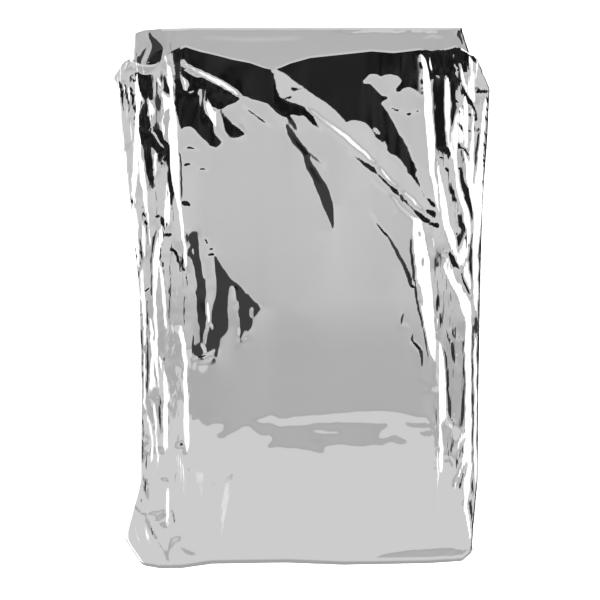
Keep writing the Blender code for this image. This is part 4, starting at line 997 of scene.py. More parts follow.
class LeafField:
    """The height of a leaf's outer face, found from the way each of its folds leans."""

    def __init__(self, stack, leaf, folds, panel_fall, from_y):
        self.leaf = leaf
        self.folds = folds
        self.panel_fall = panel_fall
        half_width = PACKET_WIDTH / 2 + FIELD_MARGIN
        self.x = np.arange(-half_width, half_width, FIELD_STEP)
        self.y = np.arange(from_y, PACKET_LENGTH / 2 + FIELD_MARGIN, FIELD_STEP)
        grid_x, grid_y = np.meshgrid(self.x, self.y)
        self.base = stack.at(leaf, grid_x, grid_y)
        self.side = self.share_of_side(grid_x, grid_y) * (leaf == 1)
        crumple = sum(facets(grid_x, grid_y, row) for row in SIDE_CRUMPLES) * self.side
        crumple = crumple + sum(facets(grid_x, grid_y, row) for row in PANEL_CRUMPLES)
        self.start = self.base + crumple
        self.lay_leans(grid_x, grid_y)
        self.height = self.settled(grid_x, grid_y)

    @staticmethod
    def share_of_side(x, y):
        """1 in the crumpled pleats at both sides, 0 on the smooth panel between them."""
        left = 1.0 - (x - between(OUTLINE, "front_left", y)) / SIDE_WIDTH
        right = 1.0 - (between(OUTLINE, "front_right", y) - x) / SIDE_WIDTH
        foot = FOOT_CRUMPLE + (1.0 - FOOT_CRUMPLE) * eased((y - FOOT_CRUMPLE_Y) / FOOT_CRUMPLE_LENGTH)
        return np.clip(np.maximum(left, right) * SIDE_RISE, 0.0, 1.0) * foot

    def lay_leans(self, grid_x, grid_y):
        """Sets the range of slopes that the film may have at each point."""
        x = SHEET_MIDDLE.x + (grid_x + WAVER * layered_noise(grid_x, grid_y, WAVER_ACROSS)) / POINT
        y = drawn_y(grid_y + WAVER * layered_noise(grid_x, grid_y, WAVER_ALONG))
        streaks = layered_noise(grid_x, grid_y, STREAKS)
        crumpled = grid_y > STREAKS_FROM_Y
        up = between(self.panel_fall, "up", drawn_y(grid_y)) + SIDE_STREAKS * streaks * self.side * crumpled
        stray = PANEL_STRAY + (SIDE_STRAY - PANEL_STRAY) * (self.side > CRUMPLED_SHARE) * crumpled
        lowest = between(LOWEST_FALL, "up", drawn_y(grid_y + RAGGED_END * streaks * self.side))
        self.right_low = np.full(x.shape, -PANEL_SIDEWAYS)
        self.right_high = np.full(x.shape, PANEL_SIDEWAYS)
        self.up_low, self.up_high = np.maximum(up - stray, lowest), up + stray
        drawn_columns, drawn_rows = SHEET_MIDDLE.x + self.x / POINT, drawn_y(self.y)
        ranges = (self.right_low, self.right_high, self.up_low, self.up_high)
        for fold in self.folds:
            x_low, x_high, y_low, y_high = reach_of(fold)
            near_x = (drawn_columns > x_low) & (drawn_columns < x_high)
            near_y = (drawn_rows > y_low) & (drawn_rows < y_high)
            window = np.ix_(near_y, near_x)
            depth = depth_inside(fold, x[window], y[window])
            for grid, value in zip(ranges, fold.lean):
                grid[window] = np.where(depth > 0, value, grid[window])

    def settled(self, grid_x, grid_y):
        """The height whose slopes lie in their ranges, as nearly as one unbroken film allows."""
        half = "front" if self.leaf == 1 else "back"
        left, right = between(OUTLINE, f"{half}_left", grid_y), between(OUTLINE, f"{half}_right", grid_y)
        top = end_line(FRONT_TOP if self.leaf == 1 else BACK_TOP, grid_x)
        free = (grid_y > top) | (grid_y < end_line(BOTTOM, grid_x)) | (grid_x < left) | (grid_x > right)
        aslant_x, aslant_y = grid_x / (2 * EYE_HEIGHT), grid_y / (2 * EYE_HEIGHT)
        height = self.start
        spread = self.spread_of_slopes(height.shape)
        for step in range(FIELD_PASSES):
            slope_x, slope_y = self.slopes(height)
            right_lean, up_lean = aslant_x - slope_x, aslant_y - slope_y
            wanted_right = np.clip(right_lean, self.right_low, self.right_high)
            wanted_up = np.clip(up_lean, self.up_low, self.up_high)
            push = 1.0 if step >= FIELD_PASSES - LAST_PASSES else OVERPUSH
            miss_x = np.where(free, 0.0, (right_lean - wanted_right) * push)
            miss_y = np.where(free, 0.0, (up_lean - wanted_up) * push)
            height = height + self.from_slopes(miss_x, miss_y, height - self.base, spread)
        return height

    @staticmethod
    def slopes(height):
        """Slopes across and along, each taken from a point to the next one."""
        slope_x = np.diff(height, axis=1, append=height[:, -1:]) / FIELD_STEP
        slope_y = np.diff(height, axis=0, append=height[-1:, :]) / FIELD_STEP
        return slope_x, slope_y

    @staticmethod
    def spread_of_slopes(shape):
        """What the bending of each wave on the doubled grid divides by."""
        rows, columns = 2 * shape[0], 2 * shape[1]
        along = 2.0 - 2.0 * np.cos(2 * math.pi * np.arange(rows) / rows)
        across = 2.0 - 2.0 * np.cos(2 * math.pi * np.arange(columns // 2 + 1) / columns)
        return (along[:, None] + across[None, :]) / FIELD_STEP**2

    @staticmethod
    def from_slopes(slope_x, slope_y, lifted, spread):
        """The change in height that comes nearest to these changes in slope."""
        rise = np.zeros_like(slope_x)
        rise[:, 1:] += slope_x[:, :-1] - slope_x[:, 1:]
        rise[:, 0] -= slope_x[:, 0]
        rise[1:, :] += slope_y[:-1, :] - slope_y[1:, :]
        rise[0, :] -= slope_y[0, :]
        rise = rise / FIELD_STEP - lifted * HOLD_DOWN / FIELD_REACH**2
        doubled = np.concatenate([rise, rise[::-1]], axis=0)
        doubled = np.concatenate([doubled, doubled[:, ::-1]], axis=1)
        waves = np.fft.rfft2(doubled) / (spread + 1.0 / FIELD_REACH**2)
        return np.fft.irfft2(waves, s=doubled.shape)[: rise.shape[0], : rise.shape[1]]

    def relief(self, x, y):
        """How far the leaf's face stands above the plain leaf."""
        relief = bilinear(self.height - self.base, self.x[0], self.y[0], FIELD_STEP, FIELD_STEP, x, y)
        if self.leaf == 1:
            return relief
        return (relief + FLAP_LIFT) * eased((y - FLAP_RISE_Y) / FLAP_RISE_LENGTH)


# ---------- The strip as one closed mesh ----------

# A row across the strip: the leaf it is on, or the two leaves of a turn, where along it lies, how many
# columns its outer face has, and which leaf's relief it carries and how much of it.
Row = namedtuple("Row", "leaf next_leaf along columns carries relief")


def column_shares(side_count, middle_count):
    """Places of the columns across the strip, from 0 at the left edge to 1 at the right edge."""
    left = np.linspace(0, SIDE_ZONE, side_count + 1)
    middle = np.linspace(SIDE_ZONE, 1 - SIDE_ZONE, middle_count + 1)
    return np.concatenate([left, middle[1:-1], 1 - left[::-1]])


def points_of_leaf(stack, leaf, share_along, shares):
    """Middle points across a leaf, share_along of the way from its bottom turn line to its top one."""
    x = np.interp(shares, [0, 1], [-PACKET_WIDTH / 2, PACKET_WIDTH / 2])
    for _ in range(EDGE_PASSES):
        low, high = turn_line(leaf, "bottom", x), turn_line(leaf, "top", x)
        y = low + (high - low) * share_along
        x = side_edge(leaf, "left", y) * (1 - shares) + side_edge(leaf, "right", y) * shares
    return np.stack([x, y, stack.at(leaf, x, y)], axis=1)


def turn_profile(leaf, next_leaf, share):
    """How far out and how far across a turn its film is: two rounded corners and a straight part between."""
    reach, half_depth = turn_reach(leaf, next_leaf), half_round(leaf, next_leaf)
    radius = reach + LEAF_THICKNESS / 2
    corner, straight = radius * math.pi / 2, 2 * (half_depth - reach)
    travel = share * (2 * corner + straight)
    if travel < corner:
        angle = travel / radius
        return reach * math.sin(angle), 1 - reach * (1 - math.cos(angle)) / half_depth
    if travel > corner + straight:
        out, across = turn_profile(leaf, next_leaf, 1 - share)
        return out, -across
    return reach, 1 - (reach + travel - corner) / half_depth


def bulge_of_bottom(points, across):
    """How far the film around the bottom end stands out: a slight bow with the creases of the wrapping."""
    x, z = points[:, 0], points[:, 2]
    creases = smooth_noise(x, CREASE_SQUASH * z, LONG_CREASE, 61)
    creases = creases + 0.5 * smooth_noise(x, z, SHORT_CREASE, 62)
    return (1.0 - across**2) * (BOTTOM_BOW + BOTTOM_CREASE * creases)


def points_of_turn(stack, leaf, next_leaf, around, shares):
    """Middle points across the turn between two leaves, at a share from 0 to 1 of the way around it."""
    at_bottom = STRIP_ORDER.index(leaf) % 2 == 0
    end_share, outwards = (0.0, -1.0) if at_bottom else (1.0, 1.0)
    start = points_of_leaf(stack, leaf, end_share, shares)
    end = points_of_leaf(stack, next_leaf, end_share, shares)
    share = eased(around)
    middle, half = (start + end) / 2, (start - end) / 2
    points = start * (1 - share) + end * share
    out, across = turn_profile(leaf, next_leaf, around)
    points[:, 1] = middle[:, 1] + half[:, 1] * across + outwards * out
    points[:, 2] = middle[:, 2] + half[:, 2] * across
    if {leaf, next_leaf} == {1, LEAF_COUNT}:
        pull = CORNER_PULL * eased((CORNER_START_X - points[:, 0]) / CORNER_WIDTH)
        points[:, 1] += outwards * (bulge_of_bottom(points, across) - pull * out)
    return points


def middle_points(stack, row, shares):
    if row.next_leaf is None:
        return points_of_leaf(stack, row.leaf, row.along, shares)
    return points_of_turn(stack, row.leaf, row.next_leaf, row.along, shares)


def span_of(leaf):
    """y of a leaf's bottom and top turn line, in the middle of the packet."""
    return float(turn_line(leaf, "bottom", 0.0)), float(turn_line(leaf, "top", 0.0))


def rows_along(leaf):
    """Shares along a leaf at which its rows lie, from its bottom turn line to its top one."""
    low, high = span_of(leaf)
    if leaf == 5:
        hidden = np.linspace(low, FLAP_FROM_Y, FLAP_HIDDEN_ROWS)[:-1]
        seen = np.arange(FLAP_FROM_Y, high, FLAP_SPACING)
        return (np.concatenate([hidden, seen, [high]]) - low) / (high - low)
    if leaf != 1:
        wave = np.cos(math.pi * np.linspace(0, 1, BACK_ROWS if leaf == LEAF_COUNT else HIDDEN_ROWS))
        return 0.5 - 0.5 * wave * (1.0 - ROW_CROWDING + ROW_CROWDING * np.abs(wave))
    coarse = np.arange(low, FINE_FROM_Y, FRONT_SPACING)
    fine = np.arange(FINE_FROM_Y, high, FRONT_SPACING_FINE)
    return (np.concatenate([coarse, fine, [high]]) - low) / (high - low)


def columns_at(leaf, share_along):
    """How fine a leaf's columns are, at a share of the way up it."""
    low, high = span_of(leaf)
    y = low + (high - low) * share_along
    if leaf == 1:
        return "calm" if y < CALM_BELOW_Y else "even" if y < FINE_FROM_Y else "fine"
    if leaf == 5:
        return "flap" if y >= FLAP_FROM_Y else "coarse"
    return "medium" if leaf == LEAF_COUNT else "coarse"


def strip_rows():
    """Every row of the strip, from one free end to the other."""
    rows = []
    for place, leaf in enumerate(STRIP_ORDER):
        along = rows_along(leaf)
        if place % 2 == 0:
            along = along[::-1]
        rows += [Row(leaf, None, share, columns_at(leaf, share), leaf, 1.0) for share in along]
        if leaf == STRIP_ORDER[-1]:
            break
        next_leaf = STRIP_ORDER[place + 1]
        around_turn = np.linspace(0, 1, TURN_ROWS[leaf, next_leaf] + 2)
        if (leaf, next_leaf) not in SHARP_TURNS:
            around_turn = around_turn[1:-1]
        columns = {(8, 1): "calm", (1, 4): "fine", (5, 6): "flap"}.get((leaf, next_leaf), "coarse")
        carries = next_leaf if next_leaf == 1 else leaf
        for around in around_turn:
            from_leaf = around if carries == leaf else 1 - around
            carried = float(eased(1.0 - from_leaf / RELIEF_FADE)) if carries in (1, 5) else 0.0
            rows.append(Row(leaf, next_leaf, around, columns, carries, carried))
    rows[0] = rows[0]._replace(columns="coarse")
    return rows


def unit(vectors):
    return vectors / np.maximum(np.linalg.norm(vectors, axis=-1, keepdims=True), 1e-9)


def in_sharp_turn(row):
    return (row.leaf, row.next_leaf) in SHARP_TURNS


def thickness_of(row):
    """A leaf's thickness at a row: less near the turns at the top, which are pressed sharp."""
    if row.next_leaf is not None:
        return SHARP_THICKNESS if in_sharp_turn(row) else LEAF_THICKNESS
    if row.leaf not in (1, 4, 5, 6):
        return LEAF_THICKNESS
    from_top = (1.0 - row.along) * PACKET_LENGTH
    share = float(eased(from_top / SHARP_LENGTH))
    return SHARP_THICKNESS + (LEAF_THICKNESS - SHARP_THICKNESS) * share


class Strip:
    """The film's strip, thickened, with the folded film edges at its sides."""

    def __init__(self, stack, fields):
        self.stack = stack
        self.fields = fields
        self.rows = strip_rows()
        self.sharp = []
        self.crumpled = []
        self.points = []
        self.rings = []
        self.strip_place = []
        self.faces = []
        self.build()

    def frame_at(self, index, shares):
        """Middle points of a row, its outward direction, and the direction across it."""
        row = self.rows[index]
        here = middle_points(self.stack, row, shares)
        across = unit(np.gradient(here, shares, axis=0))
        if in_sharp_turn(row):
            corner = {0.0: 1.0, 1.0: -1.0}.get(row.along, 0.0)
            return here, np.tile([0.0, 1.0, corner], (len(here), 1)), across
        last = len(self.rows) - 1
        back = index if index == 0 or in_sharp_turn(self.rows[index - 1]) else index - 1
        on = index if index == last or in_sharp_turn(self.rows[index + 1]) else index + 1
        before, after = (middle_points(self.stack, self.rows[i], shares) for i in (back, on))
        return here, unit(np.cross(across, unit(after - before))), across

    def lifted(self, row, points, outwards):
        """The points with their leaf's relief added."""
        if row.carries not in self.fields:
            return points + outwards * self.small_relief(row, points)
        relief = self.fields[row.carries].relief(points[:, 0], points[:, 1]) * row.relief
        return points + relief[:, None] * np.array([0.0, 0.0, 1.0])

    @staticmethod
    def small_relief(row, points):
        """Shallow dents of the leaves further back. Those of the back leaf only go inwards, as it rests."""
        if row.next_leaf is not None:
            return 0.0
        x, y = points[:, 0], points[:, 1]
        dents = layered_noise(x, y, DENTS, seed=row.leaf)
        height = DENT_DEPTH * dents if row.leaf != LEAF_COUNT else -DENT_DEPTH * (1.0 + dents)
        to_ends = np.minimum(turn_line(row.leaf, "top", x) - y, y - turn_line(row.leaf, "bottom", x))
        return (height * eased(to_ends / DENT_FADE))[:, None]

    @staticmethod
    def rim(row, seed, outer_edge, inner_edge, away):
        """Points round a leaf's side: the edges of the folded film, in rounded layers."""
        share = (np.arange(RIM_POINTS) + 1.0) / (RIM_POINTS + 1.0)
        along = outer_edge[1] * (1.0 if row.next_leaf is None else TURN_RIM) / RIM_BUMP
        bump = np.floor(along)
        layer = np.floor(share * RIM_LOBES)
        place, leaf_place = bump + LAYER_STEP * layer, layer + LEAF_STEP * row.leaf
        here, after = hashed(place, leaf_place, seed), hashed(place + 1, leaf_place, seed)
        strays = here + (after - here) * eased(along - bump)
        lobe = np.abs(np.sin(share * math.pi * RIM_LOBES)) ** LOBE_POWER
        depth = RIM_DEPTH * (RIM_FLAT + RIM_LOBE * lobe + RIM_STRAY * strays * np.sin(share * math.pi))
        line = outer_edge * (1 - share[:, None]) + inner_edge * share[:, None]
        return line + away * depth[:, None]

    def build(self):
        inner_shares = column_shares(*COLUMNS["coarse"])
        travelled = 0.0
        last_middle = None
        for index, row in enumerate(self.rows):
            shares = column_shares(*COLUMNS[row.columns])
            middle, outwards, across = self.frame_at(index, shares)
            outer = self.lifted(row, middle + outwards * LEAF_THICKNESS / 2, outwards)
            inner_middle, inner_outwards, _ = self.frame_at(index, inner_shares)
            inwards = thickness_of(row) - LEAF_THICKNESS / 2
            inner = self.lifted(row, inner_middle - inner_outwards * inwards, inner_outwards)
            right = self.rim(row, RIGHT_RIM_SEED, outer[-1], inner[-1], across[-1])
            left = self.rim(row, LEFT_RIM_SEED, outer[0], inner[0], -across[0])[::-1]
            ring = np.concatenate([outer, right, inner[::-1], left])
            centre = middle[len(middle) // 2]
            if last_middle is not None:
                travelled += float(np.linalg.norm(centre - last_middle))
            last_middle = centre
            self.rings.append((len(self.strip_place), len(outer)))
            if in_sharp_turn(row) and row.along in (0.0, 1.0):
                self.sharp += range(len(self.strip_place), len(self.strip_place) + len(outer))
            self.points.append(ring)
            self.strip_place += [(travelled, x) for x in ring[:, 0]]
            share = LeafField.share_of_side(ring[:, 0], ring[:, 1])
            self.crumpled += list(share if row.carries == 1 else 0.0 * share)
        for index in range(len(self.rows) - 1):
            self.join(index)
        self.cap(0, False)
        self.cap(len(self.rows) - 1, True)

    def join(self, index):
        """Faces between a ring and the next one."""
        (start, count), (next_start, next_count) = self.rings[index], self.rings[index + 1]
        size, next_size = len(self.points[index]), len(self.points[index + 1])
        if count == next_count:
            for i in range(count - 1):
                self.faces.append((start + i, start + i + 1, next_start + i + 1, next_start + i))
        else:
            shares = column_shares(*COLUMNS[self.rows[index].columns])
            next_shares = column_shares(*COLUMNS[self.rows[index + 1].columns])
            i = j = 0
            while i < count - 1 or j < next_count - 1:
                step = j == next_count - 1 or (i < count - 1 and shares[i + 1] <= next_shares[j + 1])
                if step:
                    self.faces.append((start + i, start + i + 1, next_start + j))
                    i += 1
                else:
                    self.faces.append((start + i, next_start + j + 1, next_start + j))
                    j += 1
        for i in range(size - count + 1):
            a, b = start + count - 1 + i, start + (count + i) % size
            d, c = next_start + next_count - 1 + i, next_start + (next_count + i) % next_size
            self.faces.append((a, b, c, d))

    def cap(self, index, last):
        """Closes a free end, from its outer face to its inner one."""
        start, count = self.rings[index]
        size = len(self.points[index])
        face = []
        for i in range(count - 1):
            a, b = start + i, start + i + 1
            c, d = start + 2 * count + RIM_POINTS - 2 - i, start + 2 * count + RIM_POINTS - 1 - i
            face.append((a, b, c, d))
        right = tuple(start + count - 1 + i for i in range(RIM_POINTS + 2))
        left = tuple(start + (2 * count + RIM_POINTS - 1 + i) % size for i in range(RIM_POINTS + 2))
        face += [right, left]
        self.faces += face if last else [corners[::-1] for corners in face]


def film_mesh(name, stack, fields):
    """The strip as a mesh in metres, with a map of the flat film and how crumpled it is."""
    strip = Strip(stack, fields)
    points = np.concatenate(strip.points)
    mesh = bpy.data.meshes.new(name)
    mesh.from_pydata((points * MM).tolist(), [], strip.faces)
    mesh.validate()
    flat_map = mesh.uv_layers.new(name="flat_film")
    corners = np.empty(len(mesh.loops), np.int64)
    mesh.loops.foreach_get("vertex_index", corners)
    place = np.array(strip.strip_place)[corners] * MM
    flat_map.uv.foreach_set("vector", place.astype(np.float32).ravel())
    crumpled = mesh.attributes.new("crumpled", "FLOAT", "POINT")
    crumpled.data.foreach_set("value", np.array(strip.crumpled, np.float32))
    mesh.shade_smooth()
    ends = np.empty(2 * len(mesh.edges), np.int64)
    mesh.edges.foreach_get("vertices", ends)
    on_crease = np.isin(ends, strip.sharp).reshape(-1, 2).all(axis=1)
    sharp = mesh.attributes.new("sharp_edge", "BOOLEAN", "EDGE")
    sharp.data.foreach_set("value", on_crease)
    return mesh


def all_fields(stack):
    """The folds of the two leaves whose faces show."""
    front = LeafField(stack, 1, FOLDS, PANEL_FALL, -PACKET_LENGTH / 2 - FIELD_MARGIN)
    flap = LeafField(stack, 5, FLAP_FOLDS, FLAP_FALL, FLAP_FROM_Y - 1.0)
    return {1: front, 5: flap}


# ---------- Materials ----------


def linear(colour):
    """An sRGB hex colour such as "E6E7E9", as linear red, green and blue."""
    values = [int(colour[i : i + 2], 16) / 255 for i in (0, 2, 4)]
    return [v / 12.92 if v <= 0.04045 else ((v + 0.055) / 1.055) ** 2.4 for v in values]


def add_node(tree, kind, settings=None, inputs=None, links=None):
    """A node with its settings, its inputs' values, and links from other nodes' outputs to its inputs."""
    node = tree.nodes.new(kind)
    for name, value in (settings or {}).items():
        setattr(node, name, value)
    for name, value in (inputs or {}).items():
        node.inputs[name].default_value = value
    for name, (source, output) in (links or {}).items():
        tree.links.new(source.outputs[output], node.inputs[name])
    return node


def new_material(name):
    """A new material, its node tree and its shader."""
    material = bpy.data.materials.new(name)
    material.use_nodes = True
    return material, material.node_tree, material.node_tree.nodes["Principled BSDF"]


def metallised_polyester_film(props):
    """Polyester film, vacuum-coated with aluminium: a bright mirror, as smooth as the film it lies on.

    The coating shows the room sharply, so the folds read as bright and dark shapes. Where the film was
    crushed, fine wrinkles about a millimetre apart break those shapes up.
    """
    material, tree, shader = new_material("metallised_polyester_film")
    shader.inputs["Base Color"].default_value = (*props.film_colour, 1.0)
    shader.inputs["Metallic"].default_value = 1.0
    place = add_node(tree, "ShaderNodeTexCoord")
    crumpled = add_node(tree, "ShaderNodeAttribute", {"attribute_name": "crumpled"})
    # Wrinkles of crushed film run with the pleats, and are about eight times longer than wide.
    stretched = add_node(
        tree, "ShaderNodeMapping", inputs={"Scale": (1.0, 0.13, 0.3)}, links={"Vector": (place, "Object")}
    )
    noises = {}
    for name, width, source, settings in (
        # Handling leaves the coating a little duller in patches about 20 mm wide.
        ("haze", 20.0, (place, "Object"), {"Detail": 3.0, "Roughness": 0.6}),
        # The wrinkles are about 0.8 mm apart and 6 mm long.
        ("wrinkles", 0.8, (stretched, "Vector"), {"Detail": 2.0, "Roughness": 0.5, "Distortion": 0.4}),
        # The film's own soft waviness is about 6 mm across.
        ("waves", 6.0, (place, "Object"), {"Detail": 1.0, "Roughness": 0.4}),
    ):
        inputs = {"Scale": 1.0 / (width * MM), **settings}
        noises[name] = add_node(tree, "ShaderNodeTexNoise", inputs=inputs, links={"Vector": source}), "Fac"
    dull, bright = props.film_roughness * 1.5, props.film_roughness * 0.7
    dullness = add_node(
        tree,
        "ShaderNodeMapRange",
        inputs={"From Min": 0.35, "From Max": 0.75, "To Min": bright, "To Max": dull},
        links={"Value": noises["haze"]},
    )
    tree.links.new(dullness.outputs["Result"], shader.inputs["Roughness"])
    wave_bump = add_node(
        tree,
        "ShaderNodeBump",
        inputs={"Strength": 1.0, "Distance": props.wave_height * MM},
        links={"Height": noises["waves"]},
    )
    wrinkle_bump = add_node(
        tree,
        "ShaderNodeBump",
        inputs={"Distance": props.wrinkle_height * MM},
        links={"Height": noises["wrinkles"], "Strength": (crumpled, "Fac"), "Normal": (wave_bump, "Normal")},
    )
    tree.links.new(wrinkle_bump.outputs["Normal"], shader.inputs["Normal"])
    return material


def painted_board(props):
    """The matt white board that the packet lies on. Its faint mottle is that of a rolled coat of paint."""
    material, tree, shader = new_material("matt_white_board")
    shader.inputs["Roughness"].default_value = 0.9
    shader.inputs["Specular IOR Level"].default_value = 0.1
    place = add_node(tree, "ShaderNodeTexCoord")
    # The dabs of the roller are about 8 mm wide.
    mottle = add_node(
        tree,
        "ShaderNodeTexNoise",
        inputs={"Scale": 1.0 / (8.0 * MM), "Detail": 2.0},
        links={"Vector": (place, "Object")},
    )
    duller = [channel * 0.985 for channel in props.board_colour]
    paint = add_node(
        tree,
        "ShaderNodeMix",
        {"data_type": "RGBA"},
        {"A": (*props.board_colour, 1.0), "B": (*duller, 1.0)},
        {"Factor": (mottle, "Fac")},
    )
    tree.links.new(paint.outputs["Result"], shader.inputs["Base Color"])
    return material


def lit_wall(props):
    """The pale studio wall behind everything, which glows evenly."""
    material, tree, shader = new_material("pale_studio_wall")
    tree.nodes.remove(shader)
    glow = add_node(tree, "ShaderNodeEmission", inputs={"Color": (*props.wall_colour, 1.0), "Strength": 1.0})
    tree.links.new(glow.outputs["Emission"], tree.nodes["Material Output"].inputs["Surface"])
    return material


# ---------- The room that the film reflects ----------

# The room above the packet: a pale ceiling, darker towards the bottom end, a bright panel at the left, a
# shade at the right beside the ceiling, and a dark backdrop beyond the top end. A place in the room is given
# by the lean of the film that reflects it straight up. Each part grows from start to end, as the lean does in
# one direction.
Part = namedtuple("Part", "name direction start end")
ROOM = (
    Part("ceiling_fall", "up", -0.040, 0.092),
    Part("low_ceiling", "up", -0.041, -0.049),
    Part("shade_gap", "right", 0.120, 0.142),
    Part("low_end", "up", -0.260, -0.640),
    Part("gap_end", "up", -0.300, -0.240),
    Part("backdrop", "up", 0.106, 0.116),
    Part("gap_depth", "right", 0.170, 0.300),
    Part("left_panel", "to_left", 0.150, 0.215),
    Part("panel_end", "up", -0.620, -0.540),
    Part("floor", "aside", 0.75, 1.05),
    Part("far_wall", "up", -0.80, -1.50),
)
PANEL_SPREAD = 0.30  # how far the bright panel stands back as the backdrop rises
LOWEST_PLACE = 0.05  # keeps the leans finite for what the film can't reflect straight up

# How the lean is worked out from a direction: its name, what is done, and to what.
DIRECTIONS = (
    ("above", "ADD", "Z", 1.0),
    ("height", "MAXIMUM", "above", LOWEST_PLACE),
    ("right", "DIVIDE", "X", "height"),
    ("up", "DIVIDE", "Y", "height"),
    ("aside", "ABSOLUTE", "right", 0.0),
    ("left", "MULTIPLY", "right", -1.0),
    ("rise", "MAXIMUM", "up", 0.0),
    ("spread", "MULTIPLY", "rise", PANEL_SPREAD),
    ("to_left", "SUBTRACT", "left", "spread"),
)


def build_room(props):
    """The room's light, set by direction."""
    world = bpy.data.worlds.new("studio_room")
    bpy.context.scene.world = world
    world.use_nodes = True
    tree = world.node_tree
    tree.nodes.clear()
    place = add_node(tree, "ShaderNodeTexCoord")
    axes = add_node(tree, "ShaderNodeSeparateXYZ", links={"Vector": (place, "Generated")})
    found = {axis: (axes, axis) for axis in "XYZ"}
    for name, operation, first, second in DIRECTIONS:
        inputs, links = {}, {0: found[first]}
        if isinstance(second, float):
            inputs[1] = second
        else:
            links[1] = found[second]
        found[name] = add_node(tree, "ShaderNodeMath", {"operation": operation}, inputs, links), "Value"
    levels = {
        "ceiling_fall": (props.ceiling_low, props.ceiling_high),
        "gap_depth": (props.shade, props.backdrop * 1.3),
    }
    for part in ROOM:
        low, high = levels.get(part.name, (0.0, 1.0))
        found[part.name] = add_node(
            tree,
            "ShaderNodeMapRange",
            {"interpolation_type": "LINEAR" if part.name == "ceiling_fall" else "SMOOTHSTEP"},
            {"From Min": part.start, "From Max": part.end, "To Min": low, "To Max": high},
            {"Value": found[part.direction]},
        ), "Result"
    for name, first, second in (("gap", "shade_gap", "gap_end"), ("panel", "left_panel", "panel_end")):
        links = {0: found[first], 1: found[second]}
        found[name] = add_node(tree, "ShaderNodeMath", {"operation": "MULTIPLY"}, links=links), "Value"
    # The dark backdrop is a cloth with soft lights on it.
    spot = add_node(tree, "ShaderNodeCombineXYZ", links={"X": found["right"], "Y": found["up"]})
    clouds = add_node(
        tree,
        "ShaderNodeTexNoise",
        inputs={"Scale": 9.0, "Detail": 2.0, "Roughness": 0.55},
        links={"Vector": (spot, "Vector")},
    )
    cloth = add_node(
        tree,
        "ShaderNodeMapRange",
        inputs={"From Min": 0.42, "From Max": 0.72, "To Min": props.backdrop, "To Max": props.backdrop * 5.0},
        links={"Value": (clouds, "Fac")},
    )
    light = found["ceiling_fall"]
    for level, share in (
        (props.low_ceiling, "low_ceiling"),
        (props.floor_light, "low_end"),
        (found["gap_depth"], "gap"),
        ((cloth, "Result"), "backdrop"),
        (props.left_panel, "panel"),
        (props.floor_light, "floor"),
        (props.floor_light, "far_wall"),
    ):
        inputs, links = {}, {"Factor": found[share], "A": light}
        if isinstance(level, float):
            inputs["B"] = level
        else:
            links["B"] = level
        light = add_node(tree, "ShaderNodeMix", {"data_type": "FLOAT"}, inputs, links), "Result"
    background = add_node(tree, "ShaderNodeBackground", links={"Color": light})
    add_node(tree, "ShaderNodeOutputWorld", links={"Surface": (background, "Background")})


# ---------- Settings ----------


COLOUR = {"subtype": "COLOR", "size": 3, "min": 0.0, "max": 1.0}


class FoilBlanketSettings(bpy.types.PropertyGroup):
    """The film's finish."""

    film_colour: bpy.props.FloatVectorProperty(
        name="Film colour", description="Colour of the aluminium coating", default=linear("F4F4F5"), **COLOUR
    )
    film_roughness: bpy.props.FloatProperty(
        name="Film roughness", description="How dull the coating is", default=0.035, min=0.0, max=1.0
    )
    wrinkle_height: bpy.props.FloatProperty(
        name="Wrinkle height",
        description="Height of the fine wrinkles in the crushed film, in millimetres",
        default=0.065,
        min=0.0,
        max=1.0,
    )
    wave_height: bpy.props.FloatProperty(
        name="Wave height",
        description="Height of the film's soft waviness, in millimetres",
        default=0.013,
        min=0.0,
        max=1.0,
    )


class StudioSettings(bpy.types.PropertyGroup):
    """The floor, the room and the camera."""

    board_colour: bpy.props.FloatVectorProperty(
        name="Board colour",
        description="Colour of the board that the packet lies on",
        default=linear("F7F7F7"),
        **COLOUR,
    )
    board_radius: bpy.props.FloatProperty(
        name="Board radius", description="Radius of the board", default=3.0, unit="LENGTH"
    )
    wall_colour: bpy.props.FloatVectorProperty(
        name="Wall colour",
        description="Colour of the wall behind the board",
        default=linear("F0F0F0"),
        **COLOUR,
    )
    wall_radius: bpy.props.FloatProperty(
        name="Wall radius", description="Distance to the wall", default=4.0, unit="LENGTH"
    )
    ceiling_high: bpy.props.FloatProperty(
        name="Ceiling, top end", description="Brightness of the ceiling towards the top end", default=0.645
    )
    ceiling_low: bpy.props.FloatProperty(
        name="Ceiling, middle", description="Brightness of the ceiling past the middle", default=0.435
    )
    low_ceiling: bpy.props.FloatProperty(
        name="Low ceiling", description="Brightness of the ceiling towards the bottom end", default=0.667
    )
    shade: bpy.props.FloatProperty(
        name="Shade", description="Brightness of the gap beside the bright panels", default=0.050
    )
    backdrop: bpy.props.FloatProperty(
        name="Backdrop", description="Brightness of the dark backdrop", default=0.0075
    )
    left_panel: bpy.props.FloatProperty(
        name="Left panel", description="Brightness of the bright panel at the left", default=1.35
    )
    floor_light: bpy.props.FloatProperty(
        name="Floor", description="Brightness of the floor past the sides of the packet", default=0.40
    )
    lamp_power: bpy.props.FloatProperty(
        name="Lamp power", description="Power of each lamp over the board", default=60.0, unit="POWER"
    )
    camera_height: bpy.props.FloatProperty(
        name="Camera height", description="Height of the camera", default=1.0, unit="LENGTH"
    )
    view_width: bpy.props.FloatProperty(
        name="View width",
        description="Width that the camera sees on the film",
        default=0.13368,
        unit="LENGTH",
    )
    view_x: bpy.props.FloatProperty(
        name="View middle, x", description="Middle of the view", default=-0.00038, unit="LENGTH"
    )
    view_y: bpy.props.FloatProperty(
        name="View middle, y", description="Middle of the view", default=-0.00050, unit="LENGTH"
    )


# ---------- Operators ----------


